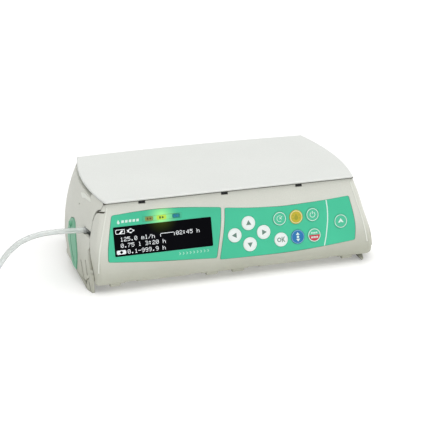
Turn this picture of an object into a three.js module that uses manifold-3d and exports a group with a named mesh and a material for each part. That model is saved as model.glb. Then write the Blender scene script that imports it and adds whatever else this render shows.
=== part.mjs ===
// Volumetric infusion pump with a drop-down front door, a linear peristaltic
// finger drive, a slide-out battery module and a short patient line.
// Millimetres, +Z up, front of the pump towards -Y, base of the rails at Z = 0.
import * as THREE from 'three';
import Module from 'manifold-3d';

const wasm = await Module();
wasm.setup();

// ---------------------------------------------------------------- dimensions
const ALPHA = 0.2708551;          // lean of the front face from vertical, rad
const FACE_Y = -64.07;            // front plane origin (v = 0)
const FACE_Z = 8.378;
const BELLY_R = 10;               // round under the front of the door
const BELLY_Y = -52.0;
const BELLY_Z = 14.51;
const BASE_Z = 4.5;               // underside of the housing
const SHELL_TOP = 66.0;           // top of the moulded shells
const COVER_Z0 = 66.25;           // top cover plate
const COVER_Z1 = 68.0;
const BACK_Y = 62.0;              // middle of the bowed back
const BACK_BOW = 3.6;
const PLAN_Y0 = -2.07;            // widest station of the plan
const PLAN_HALF = 101.7;          // half width of the top plan there
const PLAN_FRONT = 5.4;           // plan narrows towards the front and back
const PLAN_REAR = 7.4;
const FLARE = 12.3;               // the flanks swell outwards below the top
const FLARE_Z = 10;
const FLARE_POW = 2.2;
const SWELL = 3.0;                // extra swell of the lower flanks towards the front
const SIDE_R0 = 4;                // round along the lower flanks, front and back
const SIDE_R1 = 7.5;
const WALL = 2.5;
const SEAM_D = -32.4;             // rear rim of the door
const SEAM_H = -31.9;             // front rim of the housing
const FACE_WALL = 3.2;            // front wall of the door
const RECESS = 0.9;               // pocket for the panel foils
const FOIL = 0.6;
const HINGE_Y = -54.5;
const HINGE_Z = 9;
const PIN_R = 1.5;
const TUBE_Y = -32;
const TUBE_Z = 41;
const SEG_OD = 5.0;               // soft pump segment
const LINE_OD = 4.1;              // patient line
const CAM_Y = -10;
const CAM_Z = 41;
const LATCH_Y = -20;
const LATCH_Z = 22;
const KEY_D = 10.6;
const KEY_HOLE = 11.3;
const SIDE_N = 6;                 // stations along each flank

// ---------------------------------------------------------------- materials
const mat = (hex, roughness = 0.5, metalness = 0) =>
  new THREE.MeshStandardMaterial({ color: hex, roughness, metalness });
const M = {
  shell: mat(0xdcdcd2, 0.55), cover: mat(0xe2e5dd, 0.45), dark: mat(0x3a3d3e, 0.6),
  chassis: mat(0x8d9292, 0.55), green: mat(0x3fb98c, 0.4), white: mat(0xf2f4f1, 0.4),
  yellow: mat(0xf0c63a, 0.4), blue: mat(0x2d6fc0, 0.4), red: mat(0xc93c36, 0.4),
  glass: mat(0x0a0d10, 0.1), lcd: mat(0x0c0f12, 0.3), pcb: mat(0x1f6b43, 0.6),
  steel: mat(0xb9bcbe, 0.3, 1), alu: mat(0xaeb2b4, 0.4, 1), soft: mat(0xe6ece8, 0.35),
  lever: mat(0x2c9c74, 0.45), pale: mat(0xcfd2ca, 0.55), brass: mat(0xb59b4e, 0.35, 1),
};

// ------------------------------------------------------------------- helpers
function toMesh(g) {
  const src = g.index ? g.toNonIndexed() : g;
  const p = src.attributes.position.array;
  const map = new Map(), verts = [], idx = [];
  for (let i = 0; i < p.length; i += 3) {
    const k = Math.round(p[i] * 1e4) + ',' + Math.round(p[i + 1] * 1e4) + ',' + Math.round(p[i + 2] * 1e4);
    let j = map.get(k);
    if (j === undefined) { j = verts.length / 3; map.set(k, j); verts.push(p[i], p[i + 1], p[i + 2]); }
    idx.push(j);
  }
  const tri = [];
  for (let i = 0; i < idx.length; i += 3) {
    const [a, b, c] = [idx[i], idx[i + 1], idx[i + 2]];
    if (a !== b && b !== c && a !== c) tri.push(a, b, c);
  }
  return new wasm.Manifold(new wasm.Mesh({
    numProp: 3, vertProperties: new Float32Array(verts), triVerts: new Uint32Array(tri),
  }));
}
function fromManifold(m) {
  const q = m.getMesh();
  const g = new THREE.BufferGeometry();
  const n = q.numProp, v = q.vertProperties, out = new Float32Array((v.length / n) * 3);
  for (let i = 0; i < v.length / n; i++) for (let k = 0; k < 3; k++) out[i * 3 + k] = v[i * n + k];
  g.setAttribute('position', new THREE.BufferAttribute(out, 3));
  g.setIndex(new THREE.BufferAttribute(new Uint32Array(q.triVerts), 1));
  g.computeVertexNormals();
  return g;
}
const group = new THREE.Group();
group.name = 'infusion_pump';
function add(name, solid, material) {
  const mesh = new THREE.Mesh(fromManifold(solid), material);
  mesh.name = name;
  group.add(mesh);
}
function extrude(pts, depth) {
  const s = new THREE.Shape(pts.map(([a, b]) => new THREE.Vector2(a, b)));
  return new THREE.ExtrudeGeometry(s, { depth, bevelEnabled: false, steps: 1 });
}
const AX = {
  // shape plane and extrusion direction: X <- (y, z), Y <- (z, x), Z <- (x, y)
  x: new THREE.Matrix4().set(0, 0, 1, 0, 1, 0, 0, 0, 0, 1, 0, 0, 0, 0, 0, 1),
  y: new THREE.Matrix4().set(0, 1, 0, 0, 0, 0, 1, 0, 1, 0, 0, 0, 0, 0, 0, 1),
  z: new THREE.Matrix4(),
};
function prismX(yz, x0, x1) { return toMesh(extrude(yz, x1 - x0).translate(0, 0, x0).applyMatrix4(AX.x)); }
function prismY(xz, y0, y1) { return toMesh(extrude(xz.map(([x, z]) => [z, x]), y1 - y0).translate(0, 0, y0).applyMatrix4(AX.y)); }
function prismZ(xy, z0, z1) { return toMesh(extrude(xy, z1 - z0).translate(0, 0, z0)); }
function box(x0, x1, y0, y1, z0, z1) {
  return toMesh(new THREE.BoxGeometry(x1 - x0, y1 - y0, z1 - z0).translate((x0 + x1) / 2, (y0 + y1) / 2, (z0 + z1) / 2));
}
function circle(cx, cy, r, n = 24, a0 = 0) {
  return Array.from({ length: n }, (_, i) => {
    const a = a0 + (2 * Math.PI * i) / n;
    return [cx + r * Math.cos(a), cy + r * Math.sin(a)];
  });
}
const cylX = (r, x0, x1, y, z, n = 24) => prismX(circle(y, z, r, n), x0, x1);
const cylY = (r, y0, y1, x, z, n = 24) => prismY(circle(x, z, r, n), y0, y1);
const cylZ = (r, z0, z1, x, y, n = 24) => prismZ(circle(x, y, r, n), z0, z1);
function union(...a) { return a.reduce((m, b) => m.add(b)); }
function minus(a, ...b) { return b.reduce((m, c) => m.subtract(c), a); }

// face frame: X across, v up the leaning front, d outwards from it
const SA = Math.sin(ALPHA), CA = Math.cos(ALPHA);
const FACE = new THREE.Matrix4().makeBasis(
  new THREE.Vector3(1, 0, 0), new THREE.Vector3(0, SA, CA), new THREE.Vector3(0, -CA, SA),
).setPosition(0, FACE_Y, FACE_Z);
function onFace(pts, d0, d1) { return toMesh(extrude(pts, d1 - d0).translate(0, 0, d0).applyMatrix4(FACE)); }
const rect = (x0, x1, y0, y1, r = 0, n = 4) => {
  if (!r) return [[x0, y0], [x1, y0], [x1, y1], [x0, y1]];
  const out = [];
  [[x1 - r, y0 + r, -90], [x1 - r, y1 - r, 0], [x0 + r, y1 - r, 90], [x0 + r, y0 + r, 180]].forEach(([cx, cy, a]) => {
    for (let i = 0; i <= n; i++) {
      const t = ((a + (90 * i) / n) * Math.PI) / 180;
      out.push([cx + r * Math.cos(t), cy + r * Math.sin(t)]);
    }
  });
  return out;
};
// closed outline through corner points, each corner eased by radius r
function eased(pts, r = 1.6, n = 4) {
  const out = [];
  pts.forEach((p, i) => {
    const a = pts[(i + pts.length - 1) % pts.length], b = pts[(i + 1) % pts.length];
    const ua = [a[0] - p[0], a[1] - p[1]], ub = [b[0] - p[0], b[1] - p[1]];
    const la = Math.hypot(...ua), lb = Math.hypot(...ub);
    const cosang = (ua[0] * ub[0] + ua[1] * ub[1]) / (la * lb);
    if (cosang < -0.96) { out.push(p); return; }
    const A = [p[0] + (ua[0] / la) * r, p[1] + (ua[1] / la) * r];
    const B = [p[0] + (ub[0] / lb) * r, p[1] + (ub[1] / lb) * r];
    for (let k = 0; k <= n; k++) {
      const t = k / n, u = 1 - t;
      out.push([u * u * A[0] + 2 * u * t * p[0] + t * t * B[0], u * u * A[1] + 2 * u * t * p[1] + t * t * B[1]]);
    }
  });
  return out;
}

// ------------------------------------------------------------- outer envelope
const planHalf = (y) => {
  const d = y - PLAN_Y0;
  return PLAN_HALF - (d < 0 ? PLAN_FRONT * (d / 48) ** 2 : PLAN_REAR * (d / 60) ** 2);
};
const flare = (z) => (z <= FLARE_Z ? 1 : 1 - Math.min(1, (z - FLARE_Z) / 56) ** FLARE_POW);
const lowRound = (z, r) => {
  const h = z - BASE_Z;
  return h >= r ? 0 : r - Math.sqrt(Math.max(0, r * r - (r - h) ** 2));
};
const frontY = (z) => (z < BELLY_Z + BELLY_R * SA
  ? BELLY_Y - Math.sqrt(Math.max(0, BELLY_R ** 2 - (BELLY_Z - z) ** 2))
  : FACE_Y + (z - FACE_Z) * Math.tan(ALPHA));
const backY = (x) => BACK_Y - BACK_BOW * (x / 96) ** 2;
const smooth = (t) => { const u = Math.min(1, Math.max(0, t)); return u * u * (3 - 2 * u); };
const swell = (y, z) => SWELL * smooth((24 - y) / 34) * smooth((y + 55.8) / 9) * Math.min(1, Math.max(0, (50 - z) / 40)) ** 1.5;
const sideR = (y) => SIDE_R0 + (SIDE_R1 - SIDE_R0) * smooth((y + 50) / 30);
const halfAt = (y, z) => planHalf(y) + FLARE * flare(z) + swell(y, z) - lowRound(z, sideR(y));

// plan outline at height z, offset inwards by t
function outline(z, t, sideN = SIDE_N, arcN = 2, backN = 5) {
  const rf = Math.max(0.4, 2.2 - t), rb = Math.max(0.6, 5 - t);
  const y0 = frontY(z) + t, xb = halfAt(BACK_Y - 6, z) - t;
  const y1 = backY(xb - rb) - t - lowRound(z, 3);
  const ys = [];
  for (let i = 0; i <= arcN; i++) ys.push([y0 + rf * (1 - Math.cos((Math.PI / 2) * (i / arcN))), rf * (1 - Math.sin((Math.PI / 2) * (i / arcN)))]);
  for (let i = 1; i < sideN; i++) ys.push([y0 + rf + ((y1 - rb - y0 - rf) * i) / sideN, 0]);
  for (let i = arcN; i >= 0; i--) ys.push([y1 - rb * (1 - Math.cos((Math.PI / 2) * (i / arcN))), rb * (1 - Math.sin((Math.PI / 2) * (i / arcN)))]);
  const right = ys.map(([y, c]) => [halfAt(y, z) - t - c, y]);
  const xe = right[right.length - 1][0];
  const back = [];
  for (let i = 1; i <= backN; i++) {
    const x = xe * (1 - (2 * i) / (backN + 1));
    back.push([x, y1 + (backY(x) - backY(xe))]);
  }
  const left = right.map(([x, y]) => [-x, y]).reverse();
  return [...right, ...back, ...left];
}
// side planes only: used where the shell does not follow the belly
function loft(levels) {
  const rings = levels.map(([z, pts]) => pts.map(([x, y]) => [x, y, z]));
  const n = rings[0].length, pos = [], idx = [];
  rings.forEach((r) => r.forEach((p) => pos.push(...p)));
  for (let k = 0; k + 1 < rings.length; k++) for (let i = 0; i < n; i++) {
    const a = k * n + i, b = k * n + ((i + 1) % n), c = a + n, d = b + n;
    idx.push(a, b, d, a, d, c);
  }
  const cap = (k, flip) => {
    const tris = THREE.ShapeUtils.triangulateShape(rings[k].map((p) => new THREE.Vector2(p[0], p[1])), []);
    tris.forEach(([a, b, c]) => (flip ? idx.push(k * n + a, k * n + c, k * n + b) : idx.push(k * n + a, k * n + b, k * n + c)));
  };
  cap(0, true);
  cap(rings.length - 1, false);
  return new wasm.Manifold(new wasm.Mesh({
    numProp: 3, vertProperties: new Float32Array(pos), triVerts: new Uint32Array(idx),
  }));
}
const Z_OUT = [4.5, 5.1, 7.0, 10.5, 14.5, 17.2, 30, 42, 54, 66];
const Z_IN = [7.0, 9.0, 12, 17.2, 30, 42, 54, 66.5];
const envelope = (t) => loft((t > 0.5 ? Z_IN : Z_OUT).map((z) => [z, outline(Math.min(z, 66), t)]));
const OUTER = envelope(0);
const INNER = envelope(WALL);
const SKIN = envelope(1.3);

// YZ regions either side of the seam. Within BODY_X the door reaches back to SEAM_D,
// outside it the housing's cheeks come forward to a seam that leans with the face.
const BODY_X = 98.2;
const TOP_EDGE = [[-47.3, 60.6], [-47.3, 65.4], [-95, 65.4]];
const DOOR_EDGE = [[-95, -5], [-55.8, -5], [-55.8, 9.5], [-55.2, 14], [-53.6, 19], [-51.0, 25.2], [-48.2, 31.2], [-45.6, 36.6], [-43.6, 41.4], [-42.3, 46.5], [-41.8, 51.5], [-42.0, 55.2], [-43.2, 58.2], [-45.2, 59.81]];
const DOOR_ZONE = prismX([[-95, -5], [-33.0, -5], [-33.0, 4.6], [SEAM_D, 9], [SEAM_D, 55.0], ...TOP_EDGE], -BODY_X, BODY_X)
  .add(prismX([...DOOR_EDGE, ...TOP_EDGE], -130, 130));
const BODY_ZONE = prismX([[SEAM_H, -5], [95, -5], [95, 80], [-46.8, 80], [-46.8, 61.3], [SEAM_H, 56.0]], -130, 130);
const CHEEK_YZ = [[-31, -5], [-44.5, -5], [-44.5, 4.6], [-46.5, 7.6], [-50.4, 10.4], [-53.6, 14.3], [-53.05, 18.8], [-50.5, 24.95], [-47.7, 30.95], [-45.1, 36.35], [-43.1, 41.2], [-41.78, 46.4], [-41.1, 51.5], [-40.8, 54.2], [-41.3, 56.6], [-42.3, 58.4], [-43.3, 60.0], [-43.3, 62], [-31, 62]];
const SLOT_YZ = [[-54.4, 17.4], [-51.4, 17.4], [-46.0, 29.6], [-46.9, 31.4], [-48.6, 31.6]];
const KNUCKLES = [[-84.5, -76], [-34.5, -26.2], [11, 19], [76, 83.5]];
const PADS = [[-96, -88.5], [-22.2, -13.7], [-1.7, 7], [86.6, 94.6]];

// --------------------------------------------------------------- main housing
const CAVITY_LOW = INNER.intersect(prismX([[-34, 7], [58.8, 7], [58.8, 59], [-29, 59], [-29, 53.4], [-34, 53.4]], -130, 130));
const CAVITY_TOP = loft([[58.5, outline(66, 7)], [66.5, outline(66, 7)]])
  .intersect(prismX([[-40, 63.4], [-27, 58.4], [54, 58.4], [54, 67], [-40, 67]], -130, 130));
const grooveInner = [];
for (let i = 0; i <= 10; i++) { const y = -24.5 + (i * 82) / 10; grooveInner.push([planHalf(y) - 3.4, y]); }
const GROOVE = box(-130, 130, -24, 57, 63.3, 66.4)
  .subtract(prismZ([...grooveInner, ...grooveInner.map(([x, y]) => [-x, y]).reverse()], 63, 67));
const BAY = { x0: 19, x1: 86, z0: 9.2, z1: 41 };
const CHEEKS = OUTER.intersect(prismX(CHEEK_YZ, -130, 130)).subtract(box(-98.9, 98.9, -70, -31.9, -5, 80))
  .subtract(INNER.intersect(box(-130, 130, -60, -31.9, 7, 54)))
  .subtract(prismX(SLOT_YZ, -130, 130));
let housing = OUTER.intersect(BODY_ZONE).add(CHEEKS).subtract(CAVITY_LOW).subtract(CAVITY_TOP).subtract(GROOVE);
// the line lies in slots in the side walls, open towards the seam
housing = minus(housing, cylX(2.85, -130, -95, TUBE_Y, TUBE_Z, 16), cylX(4.2, 95, 130, TUBE_Y, TUBE_Z, 16),
  box(-130, -95, -46, TUBE_Y, TUBE_Z - 2.85, TUBE_Z + 2.85), box(95, 130, -46, TUBE_Y, TUBE_Z - 4.2, TUBE_Z + 4.2));
// battery bay, sockets and clamp plate in the back wall
housing = minus(housing,
  box(BAY.x0, BAY.x1, 50, 70, BAY.z0, BAY.z1),
  box(-31, -11, 50, 70, 13.7, 26.3), box(-7.3, 7.3, 50, 70, 13.7, 23.3),
  box(-91, -41, 50, 70, 15.7, 50.3));
// battery bay cheeks, board posts and screw bosses rise from the floor
const postXY = [[-92, -2], [-92, 46], [-4, -2], [-4, 46]];
const bossXY = [[-84, -20], [84, -20], [-84, 49], [10, 49]];
housing = union(housing,
  box(16.4, 18.6, 4, 59.2, 6.9, 42.5), box(86.4, 88.6, 4, 59.2, 6.9, 42.5),
  box(24, 27, 6, 58.9, 6.9, 9.3), box(78, 81, 6, 58.9, 6.9, 9.3),
  ...postXY.map(([x, y]) => cylZ(2.6, 6.9, 11.7, x, y, 12)),
  ...bossXY.map(([x, y]) => cylZ(5, 6.9, 12, x, y, 16)),
  // struts that carry the front chassis
  box(-111, -98, -26.7, -25.6, 7.1, 53.6).intersect(SKIN), box(98, 111, -26.7, -25.6, 7.1, 53.6).intersect(SKIN));
housing = minus(housing,
  ...bossXY.map(([x, y]) => cylZ(3.4, 3, 7.2, x, y, 20)), ...bossXY.map(([x, y]) => cylZ(1.8, 3, 11, x, y, 12)));
// hinge arms run under the door to the hinge pin
KNUCKLES.forEach(([x0, x1]) => {
  const arm = [[-29, 3.0], [-48.6, 3.0], [-49.8, 3.6], [-54.5, 6.1], [-56.55, 6.95], [-57.4, 9], [-56.55, 11.05], [-54.5, 11.9], [-52.45, 11.05], [-51.6, 9], [-50, 6.3], [-33, 6.3], [-31.5, 7.1], [-29, 7.1]];
  housing = housing.add(prismX(arm, x0, x1));
});
housing = housing.subtract(cylX(PIN_R + 0.05, -98, 93, HINGE_Y, HINGE_Z, 16));
// stack lock window in the left flank
const LOCK_YZ = [[-29.2, 9.4], [-25.5, 7.6], [-21.5, 10], [-15, 15.5], [-7, 20.6], [3.5, 24], [7, 28.5], [6.6, 34.5], [3, 38.6], [-5, 40.6], [-11, 38.8], [-17, 33.2], [-23, 27], [-27.4, 21], [-29.2, 15.5]];
const grow = (pts, k) => { const c = pts.reduce((s, p) => [s[0] + p[0] / pts.length, s[1] + p[1] / pts.length], [0, 0]); return pts.map((p) => { const d = [p[0] - c[0], p[1] - c[1]], l = Math.hypot(...d); return [p[0] + (d[0] / l) * k, p[1] + (d[1] / l) * k]; }); };
housing = housing.subtract(prismX(grow(LOCK_YZ, 0.55), -130, -101));
add('main_housing', housing, M.shell);

// ------------------------------------------------------------------ top cover
const coverRing = (t, z) => {
  const pts = [], n = 10;
  const f = -50.6 + (COVER_Z1 - z) * 0.9 + t, ym = 59.0 - t;
  for (let i = 0; i <= n; i++) { const y = f + 2 + ((ym - f - 2) * i) / n; pts.push([planHalf(y) + 0.4 - t, y]); }
  const xe = pts[pts.length - 1][0] - 2.4, xf = pts[0][0] - 2;
  const b = [];
  for (let i = 0; i <= 8; i++) { const x = xe * (1 - (2 * i) / 8); b.push([x, backY(x) - t]); }
  return [[xf, f], ...pts, ...b, ...pts.map(([x, y]) => [-x, y]).reverse(), [-xf, f]];
};
let cover = loft([[COVER_Z0, coverRing(0.3, 67.2)], [66.9, coverRing(0, 67.8)], [67.5, coverRing(0, 68)], [COVER_Z1, coverRing(0.5, 68)]]);
const rimO = outline(66, 7.6), rimI = outline(66, 9.4);
cover = cover.add(loft([[63.2, rimO.map(([x, y]) => [x, Math.min(53.6, Math.max(-39.6, y))])], [66.4, rimO.map(([x, y]) => [x, Math.min(53.6, Math.max(-39.6, y))])]])
  .intersect(prismX([[-39.6, 64.2], [53.6, 63.2], [53.6, 67], [-39.6, 67]], -130, 130))
  .subtract(loft([[62, rimI.map(([x, y]) => [x, Math.min(51.8, Math.max(-37.8, y))])], [66.25, rimI.map(([x, y]) => [x, Math.min(51.8, Math.max(-37.8, y))])]])));
add('top_cover', cover, M.cover);

// -------------------------------------------------------------- front chassis
const chassisSlab = envelope(2.9).intersect(box(-130, 130, -31.4, -27, 7.6, 53.0));
let chassis = minus(chassisSlab,
  cylX(2.9, -130, 130, TUBE_Y, TUBE_Z, 20),
  box(-28.3, 28.3, -40, -20, 36.2, 45.8),
  box(-56, -44, -40, -20, 34, 48), box(44, 56, -40, -20, 34, 48),
  box(68.6, 100, -40, -28.2, 36.9, 45.1),
  box(-65, -59, -40, -20, 17.5, 38.6), box(59, 65, -40, -20, 17.5, 38.6));
chassis = union(chassis,
  ...[[-72, -68], [-52, -48], [48, 52], [68, 72]].map(([a, b]) => prismX([[-27.2, 17.5], [-16, 17.5], [-16, 26], [-20, 26.6], [-27.2, 30]], a, b)));
chassis = minus(chassis, cylX(2.56, -80, 80, LATCH_Y, LATCH_Z, 24), box(-130, -107, -40, -24, 6.5, 28));
add('front_chassis', chassis, M.chassis);

// ---------------------------------------------------------------------- rails
const railYZ = [[-55.5, 0.0], [27, 0.0], [27, 4.2], [-51.9, 4.2], [-55.5, 1.5]];
// the left rail rises into a nose under the cheek, beside the foot of the door
const noseYZ = [[-55.5, 0.0], [27, 0.0], [27, 4.2], [-44.9, 4.2], [-46.9, 7.1], [-50.8, 9.9], [-54.0, 13.7], [-54.9, 13.4], [-55.5, 8.5]];
add('left_rail', prismX(noseYZ, -112, -107.6)
  .intersect(prismY([[-112, 3.4], [-112, 0.7], [-111.3, 0], [-107.6, 0], [-107.6, 14], [-109.9, 14], [-111.2, 4.2]], -60, 30))
  .intersect(prismZ([[-107.6, -56], [-107.6, 28], [-112, 28], [-112, -46], [-109.3, -55.6], [-109.2, -56]], -1, 14.5)), M.shell);
add('right_rail', prismX(railYZ, 101.5, 108)
  .intersect(prismY([[101.5, 4.2], [101.5, 0], [104.8, 0], [108, 3.2], [108, 4.2]], -60, 30)), M.shell);

// --------------------------------------------------------------- base screws
bossXY.forEach(([x, y], i) => {
  add('base_screw_' + (i + 1), minus(union(cylZ(3, 4.7, 6.6, x, y, 20), cylZ(1.5, 6.5, 10.6, x, y, 12)),
    box(x - 1.7, x + 1.7, y - 0.4, y + 0.4, 4, 5.6), box(x - 0.4, x + 0.4, y - 1.7, y + 1.7, 4, 5.6)), M.steel);
});

// ------------------------------------------------------------ electronics etc
let pcb = box(-98, 2, -8, 52, 12.1, 13.7);
pcb = union(pcb, box(-86, -70, 10, 26, 13.6, 16), box(-60, -38, 14, 34, 13.6, 15.4), box(-30, -16, 28, 42, 13.6, 19), cylZ(4, 13.6, 20, -76, 40, 16), cylZ(4, 13.6, 20, -64, 40, 16));
add('circuit_board', pcb, M.pcb);
const yb = (x) => backY(x);
// closed contact block for the docking station, and the window of the infrared port
add('power_port', union(box(-30.7, -11.3, 52, 60.4, 14, 26), ...[0, 1, 2, 3].map((i) => box(-28.9 + 4.2 * i, -26.7 + 4.2 * i, 60.2, 61.1, 16.5, 23.5))), M.dark);
add('accessory_port', prismY([[-7, 15], [-6, 14], [6, 14], [7, 15], [7, 22], [6, 23], [-6, 23], [-7, 22]], 52, 60.9), M.dark);
const clampPts = [[-90.7, 16], [-41.3, 16], [-41.3, 50], [-90.7, 50]];
let clampPlate = prismY(clampPts, 52, 58.9);
clampPlate = minus(clampPlate, box(-100, -30, 54.4, 56.9, 26.5, 39.5), box(-100, -30, 56.5, 60, 29, 37));
add('clamp_rail', clampPlate, M.alu);

// ------------------------------------------------------------- drive mechanics
let cradle = union(
  box(36.2, 39.2, -26.6, -1, 29, 53), box(-36.4, -34, -26.6, -1, 29, 53), box(-46.4, -44, -26.6, 12, 20, 53),
  box(-46.4, 39.2, -26.6, -20, 50.6, 53), box(-46.4, 39.2, -26.6, -20, 29, 31.2), box(-46.4, -34, -26.6, -24.2, 20, 53));
cradle = minus(cradle, cylX(3.05, -60, 60, CAM_Y, CAM_Z, 24), cylX(1.95, -50, -40, 0.18, 30.82, 16), box(-43.9, -36.5, -22, 20, 10, 50.5), box(-60, -30, -40, -16.5, 10, 27));
add('cam_cradle', cradle, M.alu);
const CAM_N = 7, PITCH = 8;
let shaft = cylX(3, -47.6, 41.5, CAM_Y, CAM_Z, 24);
for (let i = 0; i < CAM_N; i++) {
  const x = (i - 3) * PITCH, a = (2 * Math.PI * i) / CAM_N;
  shaft = shaft.add(cylX(6, x - 3.3, x + 3.3, CAM_Y + 1.4 * Math.cos(a), CAM_Z + 1.4 * Math.sin(a), 16));
}
add('camshaft', shaft, M.steel);
function gear(teeth, m, x0, x1, y, z, a0, hole, slack = 0.14) {
  const r = (teeth * m) / 2, pts = [];
  for (let i = 0; i < teeth; i++) {
    const c = a0 + (2 * Math.PI * i) / teeth, h = (Math.PI * m / 4 - slack / 2) / r;
    [[r - 1.05 * m, h * 1.42], [r, h], [r + 0.9 * m, h * 0.52]].forEach(([q, w]) => pts.push([q, c - w]));
    [[r + 0.9 * m, h * 0.52], [r, h], [r - 1.05 * m, h * 1.42]].forEach(([q, w]) => pts.push([q, c + w]));
  }
  const g = prismX(pts.map(([q, w]) => [y + q * Math.cos(w), z + q * Math.sin(w)]), x0, x1);
  return hole ? g.subtract(cylX(hole, x0 - 1, x1 + 1, y, z, 24)) : g;
}
add('cam_gear', gear(24, 0.8, -42, -38.4, CAM_Y, CAM_Z, -Math.PI / 4, 3.25), M.brass);
add('motor_pinion', union(gear(12, 0.8, -42.4, -38, 0.18, 30.82, Math.PI * 0.75 + Math.PI / 12, 0), cylX(1.5, -52, -37.4, 0.18, 30.82, 16)), M.steel);
add('drive_motor', minus(union(cylX(9, -82, -47, 0.18, 30.82, 28), box(-50, -46.7, -9.5, 9.8, 21, 40.5)), cylX(1.58, -54, -40, 0.18, 30.82, 16), cylX(3.2, -50.2, -46, CAM_Y, CAM_Z, 20)), M.steel);
for (let i = 0; i < CAM_N; i++) {
  const x = (i - 3) * PITCH;
  add('finger_' + (i + 1), prismX([[-29.2, 39.4], [-28.2, 37.6], [-26.4, 36.6], [-17.8, 36.6], [-17.8, 45.4], [-26.4, 45.4], [-28.2, 44.4], [-29.2, 42.6]], x - 3.6, x + 3.6), M.white);
}
// latch shaft: two hooks parked behind the chassis
const hookAt = (x) => prismX([[-22.6, 21], [-17.4, 21], [-17.6, 33], [-17.4, 38.0], [-19.6, 39.2], [-22.4, 37.6], [-21.6, 35.6], [-22.2, 32.5]], x - 1.8, x + 1.8);
add('latch_shaft', union(cylX(2.5, -73.5, 73.5, LATCH_Y, LATCH_Z, 24), hookAt(-62), hookAt(62)), M.steel);
const sensor = (x) => minus(box(x - 5.7, x + 5.7, -31.2, -26.9, 34.3, 47.7), cylX(2.9, -130, 130, TUBE_Y, TUBE_Z, 20));
add('air_sensor', sensor(-50), M.dark);
add('pressure_sensor', sensor(50), M.pale);

// ------------------------------------------------------------------ hinge rod
add('hinge_rod', cylX(PIN_R, -97.6, 92.6, HINGE_Y, HINGE_Z, 16), M.steel);

// ------------------------------------------------------------------ stack lock
let lock = envelope(-0.7).intersect(prismX(LOCK_YZ, -130, -98)).subtract(envelope(2.3));
lock = lock.add(cylX(2.4, -114.4, -110.5, -1.5, 35.2, 16));
add('stack_lock', lock, M.lever);

// --------------------------------------------------------------------- battery
add('battery_pack', union(box(20.4, 84.6, 6.5, 56, 9.7, 39.4), box(30, 74, 55, 57.4, 13, 36)), M.dark);
const cvr = loft(Z_OUT.map((z) => [z, outline(z, 0)])).intersect(box(19.5, 85.5, 57.9, 70, 9.7, 40.5));
const cover2 = minus(cvr, box(44, 61, 59.2, 70, 30, 38.5));
add('battery_cover', cover2, M.shell);
add('battery_latch', box(44.6, 54.2, 59.45, 61.0, 31, 37.5), M.lever);

// -------------------------------------------------------------------- the door
// inner space of the door keeps a thicker front wall
const doorInner = loft(Z_IN.map((z) => [z, outline(Math.min(z, 66), WALL)]));
const faceCut = onFace(rect(-130, 130, -20, 80), -60, -FACE_WALL);   // everything behind the front wall
let doorCavity = doorInner.intersect(prismX([[-95, 7.2], [-30, 7.2], [-30, 52.6], [-46, 58.6], [-46, 62], [-95, 62]], -130, 130)).intersect(faceCut).intersect(box(-95.9, 95.9, -100, 0, 0, 80));
let door = OUTER.intersect(DOOR_ZONE).subtract(doorCavity);
// open the back for the door plate
const PANEL_L = eased([[-92.1, 50.6], [-94.7, 38.2], [-97, 24.4], [-97.3, 16.7], [-75.6, 14.6], [-53.9, 13], [-32, 11.7], [-15.4, 10.5], [-11.6, 27.3], [-9.7, 38.4], [-9.1, 48.1], [-36, 50.9], [-57.8, 52.1], [-75.9, 51.6]], 2.0);
const PANEL_R = eased([[-6.1, 47.4], [-6.7, 38.4], [-8.6, 27.3], [-12.9, 9.2], [11.5, 8.7], [42.3, 8.6], [71.2, 10], [95.3, 12], [96.8, 23.1], [95.2, 34.9], [92.6, 46.3], [73.9, 44.9], [45.2, 43.8], [37.2, 43.8], [14.5, 45.1]], 2.0);
const KEYS = {
  key_up: [11.3, 33.9], key_down: [11.3, 17.9], key_left: [-0.1, 25.9], key_right: [22.7, 25.9],
  key_ok: [36, 18.7], key_clear: [36, 34.6], key_bolus: [49.2, 34.5], key_power: [62.4, 34.9],
  key_connect: [49.4, 19.3], key_start_stop: [62.7, 19.2], key_open: [84.8, 27.5],
};
const DISPLAY = [-92, -17.3, 20, 41.9];
const WINDOW = [-91.4, -17.9, 20.6, 41.3];
const LEDS = [-69.2, -39.8, 43.6, 47.4];
door = minus(door,
  onFace(grow(PANEL_L, 0.25), -RECESS, 3), onFace(grow(PANEL_R, 0.25), -RECESS, 3),
  onFace(rect(DISPLAY[0] + 1, DISPLAY[1] - 1, DISPLAY[2] + 1, DISPLAY[3] - 1), -8, 3),
  onFace(rect(LEDS[0] + 0.8, LEDS[1] - 0.8, LEDS[2] + 0.7, LEDS[3] - 0.7), -8, 3));
Object.values(KEYS).forEach(([x, v]) => { door = door.subtract(onFace(circle(x, v, KEY_HOLE / 2 + 0.15, 12), -12, 3)); });
// knuckle bays and pin bosses
KNUCKLES.forEach(([x0, x1]) => {
  door = door.add(prismX([[-61, 6.5], [-52, 4.6], [-49.4, 4.6], [-49.4, 13.4], [-61, 13.4]], Math.max(x0 - 3, -98), x1 + 3).intersect(SKIN));
});
KNUCKLES.forEach(([x0, x1]) => { door = door.subtract(prismX([[-61.2, 3], [-30, 3], [-30, 6.9], [-49.4, 6.9], [-51.0, 9.0], [-51.3, 10.2], [-52.7, 11.7], [-54.5, 12.25], [-56.3, 11.7], [-57.6, 10.2], [-57.9, 8.7], [-60.7, 4.4]], x0 - 0.5, x1 + 0.5)); });
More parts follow.
